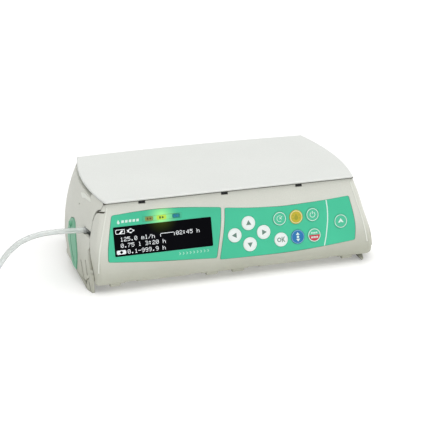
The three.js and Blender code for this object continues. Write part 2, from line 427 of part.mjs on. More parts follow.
// small pads under the foot of the door
PADS.forEach(([x0, x1]) => { door = door.add(prismX([[-53.2, 3.8], [-56.5, 3.6], [-58.0, 4.9], [-58.6, 7.5], [-53.2, 6.9]], x0, x1)); });
door = minus(door, cylX(PIN_R + 0.08, -98, 95.2, HINGE_Y, HINGE_Z, 16),
  cylX(2.75, -130, -95, TUBE_Y, TUBE_Z, 16), cylX(4.2, 95, 130, TUBE_Y, TUBE_Z, 16),
  ...[-68.7, -5.4, 53.2].map((x) => box(x - 2.6, x + 2.6, -52, -45, 63.4, 67)));
// ledge that seats the door plate
const ledge = box(-97, 97, -39.4, -37.3, 7.05, 53.4).subtract(box(-92.5, 92.5, -45, -30, 12.5, 49.6));
door = door.add(ledge.subtract(union(...KNUCKLES.map(([x0, x1]) => box(x0 - 0.5, x1 + 0.5, -60, -30, 3, 8.6)))));
add('door_shell', door, M.shell);

let plate = box(-95.4, 95.4, -37, -32.9, 8.7, 52.2);
plate = minus(plate, cylX(2.9, -130, 130, TUBE_Y, TUBE_Z, 20), box(-29.4, 29.4, -40, -30, 36.2, 45.8),
  box(68.6, 100, -35.8, -30, 36.9, 45.1),
  box(-65.6, -58.4, -40, -30, 20, 35.8), box(58.4, 65.6, -40, -30, 20, 35.8));
add('door_backplate', plate, M.chassis);
add('platen', union(box(-29, 29, -37, -34.8, 36.6, 45.4), box(-25, 25, -40.4, -36.9, 38, 44)), M.white);

// front panel parts
let pl = onFace(PANEL_L, -FOIL, 0);
pl = minus(pl, onFace(rect(DISPLAY[0], DISPLAY[1], DISPLAY[2], DISPLAY[3], 0.8, 2), -3, 3), onFace(rect(LEDS[0], LEDS[1], LEDS[2], LEDS[3], 0.6, 2), -3, 3));
add('left_panel', pl, M.green);
let pr = onFace(PANEL_R, -FOIL, 0);
Object.values(KEYS).forEach(([x, v]) => { pr = pr.subtract(onFace(circle(x, v, KEY_HOLE / 2, 18), -3, 3)); });
add('right_panel', pr, M.green);
add('display_window', onFace(rect(DISPLAY[0] + 0.15, DISPLAY[1] - 0.15, DISPLAY[2] + 0.15, DISPLAY[3] - 0.15, 0.8, 2), -FOIL, 0.05), M.glass);
add('led_lens', union(onFace(rect(LEDS[0] + 0.15, LEDS[1] - 0.15, LEDS[2] + 0.15, LEDS[3] - 0.15, 0.6, 2), -FOIL, 0.08), onFace(rect(LEDS[0] + 1.1, LEDS[1] - 1.1, LEDS[2] + 1.0, LEDS[3] - 1.0), -3.4, -FOIL + 0.01)), M.green);
add('display_screen', onFace(rect(DISPLAY[0] + 1.3, DISPLAY[1] - 1.3, DISPLAY[2] + 1.3, DISPLAY[3] - 1.3), -6.6, -1.1), M.lcd);
const board = onFace(rect(-90, 92, 11, 46), -8.6, -7.2);
add('display_board', union(board, onFace(rect(-60, -30, 22, 36), -10.6, -8.5), onFace(rect(20, 50, 20, 34), -10.2, -8.5)), M.pcb);

const KEYMAT = { key_bolus: M.yellow, key_connect: M.blue, key_start_stop: M.red, key_clear: M.green, key_power: M.green, key_open: M.green };
Object.entries(KEYS).forEach(([name, [x, v]]) => {
  const r = KEY_D / 2;
  const cap = union(onFace(circle(x, v, r, 20), -3.6, 0.5), onFace(circle(x, v, 6.25, 10), -4.4, -3.5), onFace(circle(x, v, 1.6, 6), -5.9, -4.3));
  add(name, cap, KEYMAT[name] || M.white);
});

// --------------------------------------------------------------- infusion line
function tube(pts, r, sides, steps) {
  const curve = new THREE.CatmullRomCurve3(pts.map((p) => new THREE.Vector3(...p)), false, 'centripetal');
  const s = new THREE.Shape(circle(0, 0, r, sides).map(([a, b]) => new THREE.Vector2(a, b)));
  return toMesh(new THREE.ExtrudeGeometry(s, { steps, extrudePath: curve, bevelEnabled: false }));
}
add('pump_segment', cylX(SEG_OD / 2, -80, 72.5, TUBE_Y, TUBE_Z, 16), M.soft);
add('upstream_connector', union(cylX(3.6, 72.8, 84, TUBE_Y, TUBE_Z, 20), cylX(2.4, 83.9, 97, TUBE_Y, TUBE_Z, 16)), M.white);
// the line leaves at the left seam, comes down to the table and is put away in a coil
const COIL = { x: -211, y: 1, in: 12.0, out: 33.0, z0: 0.75, z1: 9.05 };
const LINE = [[-80.3, TUBE_Y, TUBE_Z], [-92, TUBE_Y, TUBE_Z], [-106, TUBE_Y, TUBE_Z], [-118, -32, 41.5], [-130, -32, 42.0], [-142, -32, 41.4],
  [-153, -32, 38.6], [-162, -32, 33.4], [-169, -31.9, 26.5], [-174.5, -31.7, 18.6], [-180, -31.4, 10.8], [-186.2, -31, 5.0], [-192.5, -30.6, 2.7]];
add('patient_line', tube(LINE, LINE_OD / 2, 8, 30), M.soft);
const ringProfile = [[COIL.in, COIL.z0 + 1.6], [COIL.in + 1.6, COIL.z0], [COIL.out - 1.6, COIL.z0], [COIL.out, COIL.z0 + 1.6], [COIL.out, COIL.z1 - 1.6], [COIL.out - 1.6, COIL.z1], [COIL.in + 1.6, COIL.z1], [COIL.in, COIL.z1 - 1.6]].map(([a, b]) => new THREE.Vector2(a, b));
ringProfile.push(ringProfile[0].clone());
add('line_coil', toMesh(new THREE.LatheGeometry(ringProfile, 32).rotateX(Math.PI / 2).translate(COIL.x, COIL.y, 0)), M.soft);
const tieMid = -(COIL.in + COIL.out) / 2;
add('line_tie', toMesh(new THREE.BoxGeometry(22.8, 3, 9.8)).subtract(toMesh(new THREE.BoxGeometry(21.8, 6, 8.8))).translate([COIL.x + tieMid, COIL.y, 4.9]), M.white);
add('luer_connector', union(cylX(2.7, -192.4, -184, 36.9, 3.4, 16), cylX(3.35, -184.1, -176, 36.9, 3.4, 16)), M.white);

export default group;
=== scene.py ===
import bpy, bmesh, math
from mathutils import Vector, Matrix


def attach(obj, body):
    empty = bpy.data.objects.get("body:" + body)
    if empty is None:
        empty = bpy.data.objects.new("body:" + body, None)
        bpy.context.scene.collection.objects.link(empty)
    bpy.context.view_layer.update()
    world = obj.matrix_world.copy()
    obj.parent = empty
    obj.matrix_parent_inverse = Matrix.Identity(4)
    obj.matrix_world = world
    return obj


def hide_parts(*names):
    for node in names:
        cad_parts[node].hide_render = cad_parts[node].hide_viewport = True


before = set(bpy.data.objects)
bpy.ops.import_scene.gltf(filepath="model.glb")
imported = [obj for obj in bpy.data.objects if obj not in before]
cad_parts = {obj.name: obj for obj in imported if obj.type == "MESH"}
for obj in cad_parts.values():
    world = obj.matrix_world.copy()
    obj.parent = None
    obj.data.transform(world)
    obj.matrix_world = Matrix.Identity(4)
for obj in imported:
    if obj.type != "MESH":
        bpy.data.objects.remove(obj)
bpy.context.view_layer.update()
COL = bpy.context.scene.collection

# ------------------------------------------------------------------- camera
AZ, EL, ROLL, DIST = -0.2941744, 0.3633424, -0.0039004, 1.1035582
back = Vector((math.sin(AZ) * math.cos(EL), -math.cos(AZ) * math.cos(EL), math.sin(EL)))
right = (-back).cross(Vector((0, 0, 1))).normalized()
up = right.cross(-back)
r2 = right * math.cos(ROLL) + up * math.sin(ROLL)
u2 = -right * math.sin(ROLL) + up * math.cos(ROLL)
cam = bpy.data.cameras.new("camera")
cam.sensor_width = 36.0
cam.lens = 1408.87 / 430.0 * 36.0
camo = bpy.data.objects.new("camera", cam)
COL.objects.link(camo)
cm = Matrix((r2, u2, back)).transposed().to_4x4()
cm.translation = Vector((0.0012616, -0.00207, 0.0294988)) + back * DIST
camo.matrix_world = cm
bpy.context.scene.camera = camo
bpy.context.scene.view_settings.view_transform = "Standard"

# ---------------------------------------------------------------- materials
def nodes_of(m):
    return m.node_tree.nodes, m.node_tree.links


def mix_rgb(n, l, fac, a, b):
    k = n.new("ShaderNodeMix"); k.data_type = "RGBA"
    if isinstance(fac, (int, float)): k.inputs[0].default_value = fac
    else: l.new(fac, k.inputs[0])
    for i, c in ((6, a), (7, b)):
        if isinstance(c, tuple): k.inputs[i].default_value = (*c, 1)
        else: l.new(c, k.inputs[i])
    return k.outputs[2]


def noise_at(n, l, coord, scale, detail=3, rough=0.5, stretch=None):
    if stretch:
        mp = n.new("ShaderNodeMapping"); mp.inputs["Scale"].default_value = stretch
        l.new(coord, mp.inputs["Vector"]); coord = mp.outputs["Vector"]
    t = n.new("ShaderNodeTexNoise"); t.inputs["Scale"].default_value = scale
    t.inputs["Detail"].default_value = detail; t.inputs["Roughness"].default_value = rough
    l.new(coord, t.inputs["Vector"])
    return t.outputs["Fac"]


def ramp(n, l, fac, stops):
    r = n.new("ShaderNodeValToRGB"); l.new(fac, r.inputs["Fac"])
    e = r.color_ramp.elements
    e[0].position, e[0].color = stops[0][0], (*[stops[0][1]] * 3, 1)
    e[1].position, e[1].color = stops[-1][0], (*[stops[-1][1]] * 3, 1)
    for p, v in stops[1:-1]:
        k = e.new(p); k.color = (v, v, v, 1)
    return r.outputs["Color"]


def make(name, col, rough=0.5, metal=0.0, blotch=0.05, grain=900.0, grain_bump=0.12, spark=0.0, edge=0.0,
         edge_wear_highlight_col=(0.95, 0.95, 0.93), soft=0.0004, coat=0.0, brushed=None, dust=0.0, spec=0.5, sss=0.0,
         transmission=0.0, ior=1.46, emit=None, emit_strength=0.0, painted_crevice_shade=0.0, low_shade_and_soiling=None):
    """A moulded, printed or turned surface: large tone drift, fine grain in tone, roughness and relief, softened
    edges lightened partly as wear and partly as painted highlight, painted shade in crevices, painted shade with
    some soiling towards the bottom, and settled dust on faces that look up."""
    m = bpy.data.materials.new(name); m.use_nodes = True
    n, l = nodes_of(m)
    b = n["Principled BSDF"]
    co = n.new("ShaderNodeTexCoord").outputs["Object"]
    big = noise_at(n, l, co, 18, 3, 0.55)
    fine = noise_at(n, l, co, grain, 2, 0.6, brushed)
    dark = tuple(max(0, c * (1 - blotch)) for c in col); light = tuple(min(1, c * (1 + blotch * 0.6)) for c in col)
    c = mix_rgb(n, l, ramp(n, l, big, [(0.3, 0), (0.7, 1)]), dark, light)
    c = mix_rgb(n, l, ramp(n, l, fine, [(0.35, 0), (0.65, 0.35 + spark)]), c, tuple(x * (1 - 0.10 - 0.25 * spark) for x in col))
    bev = None
    if edge > 0 or soft > 0:
        bev = n.new("ShaderNodeBevel"); bev.samples = 4; bev.inputs["Radius"].default_value = max(soft, 0.0002)
    # lighter edges: partly wear, partly painted highlight on the rounded edges
    if edge > 0:
        geo = n.new("ShaderNodeNewGeometry")
        dot = n.new("ShaderNodeVectorMath"); dot.operation = "DOT_PRODUCT"
        l.new(bev.outputs["Normal"], dot.inputs[0]); l.new(geo.outputs["Normal"], dot.inputs[1])
        w = ramp(n, l, dot.outputs["Value"], [(0.80, 1), (0.97, 0)])
        mul = n.new("ShaderNodeMath"); mul.operation = "MULTIPLY"; l.new(w, mul.inputs[0]); l.new(ramp(n, l, noise_at(n, l, co, 260, 4, 0.7), [(0.35, 0.15), (0.7, 1)]), mul.inputs[1])
        mu2 = n.new("ShaderNodeMath"); mu2.operation = "MULTIPLY"; l.new(mul.outputs[0], mu2.inputs[0]); mu2.inputs[1].default_value = edge
        c = mix_rgb(n, l, mu2.outputs[0], c, edge_wear_highlight_col)
    # darker towards the bottom: painted shade from light falling from above, with some soiling
    if low_shade_and_soiling:
        hz = n.new("ShaderNodeSeparateXYZ"); l.new(co, hz.inputs[0])
        hm = n.new("ShaderNodeMapRange"); l.new(hz.outputs["Z"], hm.inputs[0]); hm.interpolation_type = "SMOOTHSTEP"
        hm.inputs[1].default_value = 0.004; hm.inputs[2].default_value = 0.044; hm.inputs[3].default_value = 1.0; hm.inputs[4].default_value = 0.0
        nz = n.new("ShaderNodeMath"); nz.operation = "MULTIPLY"; l.new(hm.outputs[0], nz.inputs[0]); l.new(ramp(n, l, noise_at(n, l, co, 30, 4, 0.6), [(0.25, 0.75), (0.75, 1)]), nz.inputs[1])
        c = mix_rgb(n, l, nz.outputs[0], c, low_shade_and_soiling)
    # painted shade: ambient occlusion darkens crevices, seams and notches towards a near-black colour
    if painted_crevice_shade > 0:
        ao = n.new("ShaderNodeAmbientOcclusion"); ao.samples = 6; ao.only_local = False; ao.inputs["Distance"].default_value = 0.0032
        am = n.new("ShaderNodeMath"); am.operation = "MULTIPLY"; l.new(ramp(n, l, ao.outputs["AO"], [(0.12, 1), (0.62, 0)]), am.inputs[0]); am.inputs[1].default_value = painted_crevice_shade
        c = mix_rgb(n, l, am.outputs[0], c, (0.09, 0.085, 0.075))
    if dust > 0:
        g2 = n.new("ShaderNodeNewGeometry"); sep = n.new("ShaderNodeSeparateXYZ"); l.new(g2.outputs["Normal"], sep.inputs[0])
        d = ramp(n, l, sep.outputs["Z"], [(0.6, 0), (1.0, dust)])
        dm = n.new("ShaderNodeMath"); dm.operation = "MULTIPLY"; l.new(d, dm.inputs[0]); l.new(ramp(n, l, noise_at(n, l, co, 55, 5, 0.7), [(0.4, 0), (0.75, 1)]), dm.inputs[1])
        c = mix_rgb(n, l, dm.outputs[0], c, (0.78, 0.77, 0.74))
    l.new(c, b.inputs["Base Color"])
    rr = n.new("ShaderNodeMapRange"); l.new(fine, rr.inputs[0])
    rr.inputs[3].default_value = max(0.03, rough - 0.10); rr.inputs[4].default_value = min(1, rough + 0.12)
    r3 = n.new("ShaderNodeMath"); r3.operation = "ADD"; l.new(rr.outputs[0], r3.inputs[0])
    r4 = n.new("ShaderNodeMapRange"); l.new(noise_at(n, l, co, 42, 4, 0.6), r4.inputs[0]); r4.inputs[3].default_value = -0.06; r4.inputs[4].default_value = 0.08
    l.new(r4.outputs[0], r3.inputs[1]); l.new(r3.outputs[0], b.inputs["Roughness"])
    bp = n.new("ShaderNodeBump"); bp.inputs["Strength"].default_value = grain_bump; bp.inputs["Distance"].default_value = 0.00006
    l.new(fine, bp.inputs["Height"])
    bp2 = n.new("ShaderNodeBump"); bp2.inputs["Strength"].default_value = 0.05; bp2.inputs["Distance"].default_value = 0.0004
    l.new(noise_at(n, l, co, 60, 2, 0.5), bp2.inputs["Height"])
    if bev: l.new(bev.outputs["Normal"], bp2.inputs["Normal"])
    l.new(bp2.outputs["Normal"], bp.inputs["Normal"]); l.new(bp.outputs["Normal"], b.inputs["Normal"])
    b.inputs["Metallic"].default_value = metal; b.inputs["Specular IOR Level"].default_value = spec
    b.inputs["Coat Weight"].default_value = coat; b.inputs["Coat Roughness"].default_value = 0.12
    b.inputs["IOR"].default_value = ior; b.inputs["Transmission Weight"].default_value = transmission
    if sss: b.inputs["Subsurface Weight"].default_value = sss; b.inputs["Subsurface Radius"].default_value = (0.002, 0.002, 0.0018)
    if emit: b.inputs["Emission Color"].default_value = (*emit, 1); b.inputs["Emission Strength"].default_value = emit_strength
    return m


def paint_lamp_halo(m, centre, radius, colour, strength):
    """Paints the lit lamp's light as an emission halo on the surface around it: painted light."""
    n, l = nodes_of(m); b = n["Principled BSDF"]
    co = n.new("ShaderNodeTexCoord").outputs["Object"]
    d = n.new("ShaderNodeVectorMath"); d.operation = "DISTANCE"; l.new(co, d.inputs[0]); d.inputs[1].default_value = centre
    mr = n.new("ShaderNodeMapRange"); l.new(d.outputs["Value"], mr.inputs[0]); mr.inputs[1].default_value = 0; mr.inputs[2].default_value = radius
    mr.inputs[3].default_value = 1; mr.inputs[4].default_value = 0
    p = n.new("ShaderNodeMath"); p.operation = "POWER"; l.new(mr.outputs[0], p.inputs[0]); p.inputs[1].default_value = 1.8
    s = n.new("ShaderNodeMath"); s.operation = "MULTIPLY"; l.new(p.outputs[0], s.inputs[0]); s.inputs[1].default_value = strength
    b.inputs["Emission Color"].default_value = (*colour, 1); l.new(s.outputs[0], b.inputs["Emission Strength"])


# SHELL and COVER get painted shade in crevices and seams; SHELL also gets painted shade, with some soiling, towards the
# bottom
SHELL = make("shell_plastic", (0.735, 0.745, 0.675), 0.50, blotch=0.035, grain=1500, grain_bump=0.22, spark=0.10, edge=0.35, edge_wear_highlight_col=(0.84, 0.85, 0.79), soft=0.0005, dust=0.06, painted_crevice_shade=0.85, low_shade_and_soiling=(0.445, 0.45, 0.365))
COVER = make("cover_plastic", (0.775, 0.795, 0.765), 0.42, blotch=0.025, grain=1300, grain_bump=0.16, spark=0.05, edge=0.4, edge_wear_highlight_col=(0.84, 0.85, 0.82), soft=0.0005, dust=0.06, painted_crevice_shade=0.7)
CHASSIS = make("chassis_plastic", (0.42, 0.44, 0.44), 0.55, blotch=0.06, grain=1200, grain_bump=0.2, edge=0.3, edge_wear_highlight_col=(0.6, 0.6, 0.6))
DARK = make("dark_plastic", (0.035, 0.038, 0.042), 0.5, blotch=0.15, grain=1400, grain_bump=0.25, edge=0.35, edge_wear_highlight_col=(0.16, 0.16, 0.17), dust=0.06)
# dark rubber for the side gasket, also used for dark strips that stand in for shade: painted shade
SEAL_AND_SHADE = make("seal_rubber_and_shade", (0.075, 0.068, 0.050), 0.7, blotch=0.2, grain=900, grain_bump=0.3, soft=0)
OLIVE = make("seal_olive", (0.26, 0.24, 0.12), 0.7, blotch=0.2, grain=900, grain_bump=0.3, soft=0)
# a lighter copy of the shell plastic for the face beads and the flank arrow: painted highlight
HIGHLIGHT_PLASTIC = make("shell_painted_highlight", (0.85, 0.87, 0.80), 0.4, blotch=0.04, grain=1500, grain_bump=0.15, soft=0.0003)
GREEN = make("panel_foil", (0.062, 0.585, 0.345), 0.34, blotch=0.09, grain=2200, grain_bump=0.10, edge=0.25, edge_wear_highlight_col=(0.45, 0.8, 0.66), soft=0.00025, coat=0.15)
LENS = make("lamp_strip", (0.080, 0.585, 0.335), 0.28, blotch=0.06, grain=1800, grain_bump=0.06, soft=0.0002, coat=0.3)
KWHITE = make("key_white", (0.90, 0.95, 0.93), 0.34, blotch=0.03, grain=1900, grain_bump=0.08, edge=0.3, edge_wear_highlight_col=(0.72, 0.85, 0.80), coat=0.2)
KGREEN = make("key_green", (0.080, 0.57, 0.34), 0.34, blotch=0.07, grain=1900, grain_bump=0.08, edge=0.2, edge_wear_highlight_col=(0.5, 0.82, 0.7), coat=0.2)
KYELLOW = make("key_yellow", (0.58, 0.47, 0.035), 0.34, blotch=0.08, grain=1900, grain_bump=0.08, edge=0.2, edge_wear_highlight_col=(0.95, 0.85, 0.5), coat=0.2)
KBLUE = make("key_blue", (0.016, 0.190, 0.47), 0.34, blotch=0.08, grain=1900, grain_bump=0.08, edge=0.2, edge_wear_highlight_col=(0.4, 0.6, 0.9), coat=0.2)
KRED = make("key_red", (0.62, 0.045, 0.075), 0.34, blotch=0.08, grain=1900, grain_bump=0.08, coat=0.2)
INK_GREY = make("ink_grey", (0.15, 0.26, 0.21), 0.5, blotch=0.1, grain=2600, grain_bump=0.1, soft=0)
INK_WHITE = make("ink_white", (0.74, 0.92, 0.85), 0.45, blotch=0.05, grain=2600, grain_bump=0.1, soft=0)
INK_OLIVE = make("ink_olive", (0.36, 0.36, 0.03), 0.5, blotch=0.12, grain=2600, grain_bump=0.1, soft=0)
WINDOW = make("display_glass", (0.003, 0.003, 0.0045), 0.22, blotch=0.3, grain=2400, grain_bump=0.02, soft=0, spec=0.04)
PIXEL = make("lit_pixel", (0.85, 0.88, 0.90), 0.5, blotch=0.03, grain=4000, grain_bump=0.05, soft=0, emit=(0.86, 0.92, 0.97), emit_strength=0.22)
STEEL = make("turned_steel", (0.58, 0.59, 0.60), 0.28, metal=1, blotch=0.06, grain=700, grain_bump=0.2, brushed=(0.05, 1, 1), edge=0.3, edge_wear_highlight_col=(0.8, 0.8, 0.8))
ALU = make("milled_aluminium", (0.62, 0.63, 0.64), 0.38, metal=1, blotch=0.05, grain=800, grain_bump=0.25, brushed=(0.04, 1, 1), edge=0.4, edge_wear_highlight_col=(0.85, 0.85, 0.85))
BRASS = make("hobbed_brass", (0.66, 0.47, 0.18), 0.32, metal=1, blotch=0.1, grain=900, grain_bump=0.2)
PCB = make("solder_mask", (0.012, 0.13, 0.055), 0.35, blotch=0.2, grain=500, grain_bump=0.4, coat=0.3)
LEVER = make("lever_plastic", (0.16, 0.47, 0.29), 0.40, blotch=0.12, grain=1400, grain_bump=0.2, edge=0.45, edge_wear_highlight_col=(0.45, 0.75, 0.62), soft=0.0006)
WHITE = make("white_acetal", (0.76, 0.775, 0.76), 0.42, blotch=0.04, grain=1300, grain_bump=0.15, edge=0.2)
LCD = make("lcd_cell", (0.01, 0.01, 0.013), 0.25, blotch=0.2, grain=900, grain_bump=0.05)
TIE = make("tie_nylon", (0.80, 0.81, 0.79), 0.45, blotch=0.05, grain=1500, grain_bump=0.2, sss=0.1)
LINE = make("clear_line", (0.86, 0.90, 0.88), 0.16, blotch=0.02, grain=600, grain_bump=0.05, soft=0, coat=0.3, transmission=0.55, ior=1.38)
SILICONE = make("silicone_segment", (0.80, 0.83, 0.80), 0.35, blotch=0.03, grain=700, grain_bump=0.08, soft=0, transmission=0.3, ior=1.4)
FLOOR = make("floor_sweep", (0.80, 0.80, 0.795), 0.7, blotch=0.006, grain=300, grain_bump=0.02, soft=0, emit=(1, 1, 1), emit_strength=0.25)

# --------------------------------------------------------------------- cord
COIL = (-211.0, 1.0)
ROUTE = [(-80.3, -32, 41), (-86, -32, 41), (-92, -32, 41), (-99, -32, 41), (-106, -32, 41), (-112, -32, 41.2), (-118, -32, 41.5), (-124, -32, 41.85),
         (-130, -32, 42.0), (-136, -32, 41.9), (-142, -32, 41.4), (-147.8, -32, 40.3), (-153, -32, 38.6), (-158, -32, 36.4), (-162, -32, 33.4), (-165.8, -31.95, 30.2),
         (-169, -31.9, 26.5), (-171.9, -31.8, 22.6), (-174.5, -31.7, 18.6), (-177.1, -31.6, 14.6), (-180, -31.4, 10.8), (-183, -31.2, 7.6), (-186.2, -31, 5.0), (-189.3, -30.8, 3.5),
         (-192.5, -30.6, 2.85), (-197.5, -30.3, 2.8), (-204, -30.0, 2.8)]
RADII = [30.9, 26.7, 22.5, 18.3, 14.1, 14.1, 18.3, 22.5, 26.7, 30.9]
pts = list(ROUTE)
t, T_END = 0.0, 9.472
while t <= T_END + 1e-9:
    i = min(9, int(t + 1e-9)); f = t - i
    s = max(0.0, (f - 0.85) / 0.15); s = s * s * (3 - 2 * s)
    r = RADII[i] + ((RADII[i + 1] - RADII[i]) * s if i < 9 else 0)
    z = 2.8 if t < 4.8 else 2.8 + 4.15 * min(1.0, (t - 4.8) / 0.2)
    a = math.radians(-90 - 360 * t)
    pts.append((COIL[0] + r * math.cos(a), COIL[1] + r * math.sin(a), z))
    t = min(T_END, t + 0.0625) if t + 0.0625 < T_END - 0.02 or t >= T_END else T_END
    if t == T_END and len(pts) > 1 and pts[-1][2] and abs(t - T_END) < 1e-12:
        a = math.radians(-90 - 360 * T_END)
        pts.append((COIL[0] + 30.9 * math.cos(a), COIL[1] + 30.9 * math.sin(a), 6.95))
        break
pts += [(-208.5, 32.9, 6.5), (-203.5, 34.6, 5.4), (-198.5, 36.1, 4.2), (-192.8, 36.85, 3.45)]
cu = bpy.data.curves.new("patient_tube", "CURVE"); cu.dimensions = "3D"; cu.resolution_u = 5
cu.bevel_depth = 0.00205; cu.bevel_resolution = 5; cu.use_fill_caps = True
sp = cu.splines.new("BEZIER"); sp.bezier_points.add(len(pts) - 1)
for p, q in zip(sp.bezier_points, pts):
    p.co = Vector(q) / 1000; p.handle_left_type = p.handle_right_type = "AUTO"
tube = bpy.data.objects.new("patient_tube", cu); COL.objects.link(tube)
cu.materials.append(LINE)
bpy.context.view_layer.update()
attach(tube, "pump_body"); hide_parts("patient_line", "line_coil")

# ------------------------------------------------------- shape kit, millimetres
ALPHA = 0.2708551
SA, CA = math.sin(ALPHA), math.cos(ALPHA)


def solid(name, verts, faces):
    me = bpy.data.meshes.new(name)
    me.from_pydata([tuple(v) for v in verts], [], faces)
    bm = bmesh.new(); bm.from_mesh(me)
    bmesh.ops.remove_doubles(bm, verts=bm.verts, dist=1e-4)
    bmesh.ops.recalc_face_normals(bm, faces=bm.faces)
    bm.to_mesh(me); bm.free()
    o = bpy.data.objects.new(name, me); COL.objects.link(o)
    return o


def boolean(a, b, op="DIFFERENCE"):
    m = a.modifiers.new("b", "BOOLEAN"); m.operation = op; m.object = b; m.solver = "MANIFOLD"
    dg = bpy.context.evaluated_depsgraph_get()
    me = bpy.data.meshes.new_from_object(a.evaluated_get(dg))
    a.modifiers.clear(); old = a.data; a.data = me
    bpy.data.meshes.remove(old)
    od = b.data; bpy.data.objects.remove(b); bpy.data.meshes.remove(od)
    return a


def cut(a, *bs):
    for b in bs: boolean(a, b)
    return a


def add(a, *bs):
    for b in bs: boolean(a, b, "UNION")
    return a


def both(a, b):
    return boolean(a, b, "INTERSECT")


def twin(o):
    c = o.copy(); c.data = o.data.copy(); COL.objects.link(c)
    return c


def extruded(pts, place, a0, a1):
    n = len(pts)
    v = [place(p, a0) for p in pts] + [place(p, a1) for p in pts]
    f = [list(range(n))[::-1], list(range(n, 2 * n))] + [[i, (i + 1) % n, n + (i + 1) % n, n + i] for i in range(n)]
    return solid("k", v, f)


def prism_x(yz, x0, x1): return extruded(yz, lambda p, a: (a, p[0], p[1]), x0, x1)
def prism_y(xz, y0, y1): return extruded(xz, lambda p, a: (p[0], a, p[1]), y0, y1)
def prism_z(xy, z0, z1): return extruded(xy, lambda p, a: (p[0], p[1], a), z0, z1)
def block(x0, x1, y0, y1, z0, z1): return prism_z([(x0, y0), (x1, y0), (x1, y1), (x0, y1)], z0, z1)
def F3(x, v, d): return (x, -64.07 + v * SA - d * CA, 8.378 + v * CA + d * SA)
def on_face(xv, d0, d1): return extruded(xv, lambda p, d: F3(p[0], p[1], d), d0, d1)
def circle(cx, cy, r, n=48, a0=0.0): return [(cx + r * math.cos(a0 + 2 * math.pi * i / n), cy + r * math.sin(a0 + 2 * math.pi * i / n)) for i in range(n)]
def cyl_x(r, x0, x1, y, z, n=40): return prism_x(circle(y, z, r, n), x0, x1)
def cyl_y(r, y0, y1, x, z, n=40): return prism_y(circle(x, z, r, n), y0, y1)
def cyl_z(r, z0, z1, x, y, n=40): return prism_z(circle(x, y, r, n), z0, z1)


def rect(x0, x1, y0, y1, r=0.0, n=6):
    if not r: return [(x0, y0), (x1, y0), (x1, y1), (x0, y1)]
    out = []
    for cx, cy, a in ((x1 - r, y0 + r, -90), (x1 - r, y1 - r, 0), (x0 + r, y1 - r, 90), (x0 + r, y0 + r, 180)):
        for i in range(n + 1):
            q = math.radians(a + 90 * i / n); out.append((cx + r * math.cos(q), cy + r * math.sin(q)))
    return out


def eased(pts, r=1.6, n=8):
    out = []
    for i, p in enumerate(pts):
        a, b = pts[i - 1], pts[(i + 1) % len(pts)]
        ua, ub = (a[0] - p[0], a[1] - p[1]), (b[0] - p[0], b[1] - p[1])
        la, lb = math.hypot(*ua), math.hypot(*ub)
        k = r if (ua[0] * ub[0] + ua[1] * ub[1]) / (la * lb) > -0.96 else min(la, lb) * 0.48
        A = (p[0] + ua[0] / la * k, p[1] + ua[1] / la * k); B = (p[0] + ub[0] / lb * k, p[1] + ub[1] / lb * k)
        for j in range(n + 1):
            q = j / n; u = 1 - q
            out.append((u * u * A[0] + 2 * u * q * p[0] + q * q * B[0], u * u * A[1] + 2 * u * q * p[1] + q * q * B[1]))
    clean = []
    for p in out:
        if not clean or math.hypot(p[0] - clean[-1][0], p[1] - clean[-1][1]) > 0.02: clean.append(p)
    if math.hypot(clean[0][0] - clean[-1][0], clean[0][1] - clean[-1][1]) <= 0.02: clean.pop()
    return clean


def grow(pts, k):
    cx = sum(p[0] for p in pts) / len(pts); cy = sum(p[1] for p in pts) / len(pts)
    out = []
    for x, y in pts:
        d = math.hypot(x - cx, y - cy); out.append((x + (x - cx) / d * k, y + (y - cy) / d * k))
    return out


def smooth01(q): q = min(1.0, max(0.0, q)); return q * q * (3 - 2 * q)
def plan_half(y): d = y + 2.07; return 101.7 - (5.4 * (d / 48) ** 2 if d < 0 else 7.4 * (d / 60) ** 2)
def flare(z): return 1.0 if z <= 10 else 1 - min(1.0, (z - 10) / 56) ** 2.2
def swell(y, z): return 3.0 * smooth01((24 - y) / 34) * smooth01((y + 55.8) / 9) * min(1.0, max(0.0, (50 - z) / 40)) ** 1.5
def side_r(y): return 4 + 3.5 * smooth01((y + 50) / 30)
def low_round(z, r): h = z - 4.5; return 0.0 if h >= r else r - math.sqrt(max(0.0, r * r - (r - h) ** 2))
def front_y(z): return -52.0 - math.sqrt(max(0.0, 100 - (14.51 - z) ** 2)) if z < 14.51 + 10 * SA else -64.07 + (z - 8.378) * math.tan(ALPHA)
def back_y(x): return 62.0 - 3.6 * (x / 96) ** 2
def half_at(y, z): return min(116.42, plan_half(y) + 12.3 * flare(z) + swell(y, z)) - low_round(z, side_r(y))


def push(y, z): return 3.5 * smooth01((46 - z) / 34) * smooth01((-4 - y) / 40)


def outline(z, t, side_n=44, arc_n=7, back_n=30):
    rf, rb = max(0.4, 2.9 - t), max(0.6, 5 - t)
    y0 = front_y(z) + t; xb = half_at(56, z) - t
    y1 = back_y(xb - rb) - t - low_round(z, 3)
    ys = []
    for i in range(arc_n + 1): q = math.pi / 2 * i / arc_n; ys.append((y0 + rf * (1 - math.cos(q)), rf * (1 - math.sin(q))))
    for i in range(1, side_n): ys.append((y0 + rf + (y1 - rb - y0 - rf) * i / side_n, 0))
    for i in range(arc_n, -1, -1): q = math.pi / 2 * i / arc_n; ys.append((y1 - rb * (1 - math.cos(q)), rb * (1 - math.sin(q))))
    rt = [(half_at(y, z) - t - c, y) for y, c in ys]
    xe = rt[-1][0]
    bk = []
    for i in range(1, back_n + 1):
        x = xe * (1 - 2 * i / (back_n + 1)); bk.append((x, y1 + back_y(x) - back_y(xe)))
    return [(min(x + push(y, z), 116.42 - t), y) for x, y in rt] + bk + [(-x, y) for x, y in reversed(rt)]


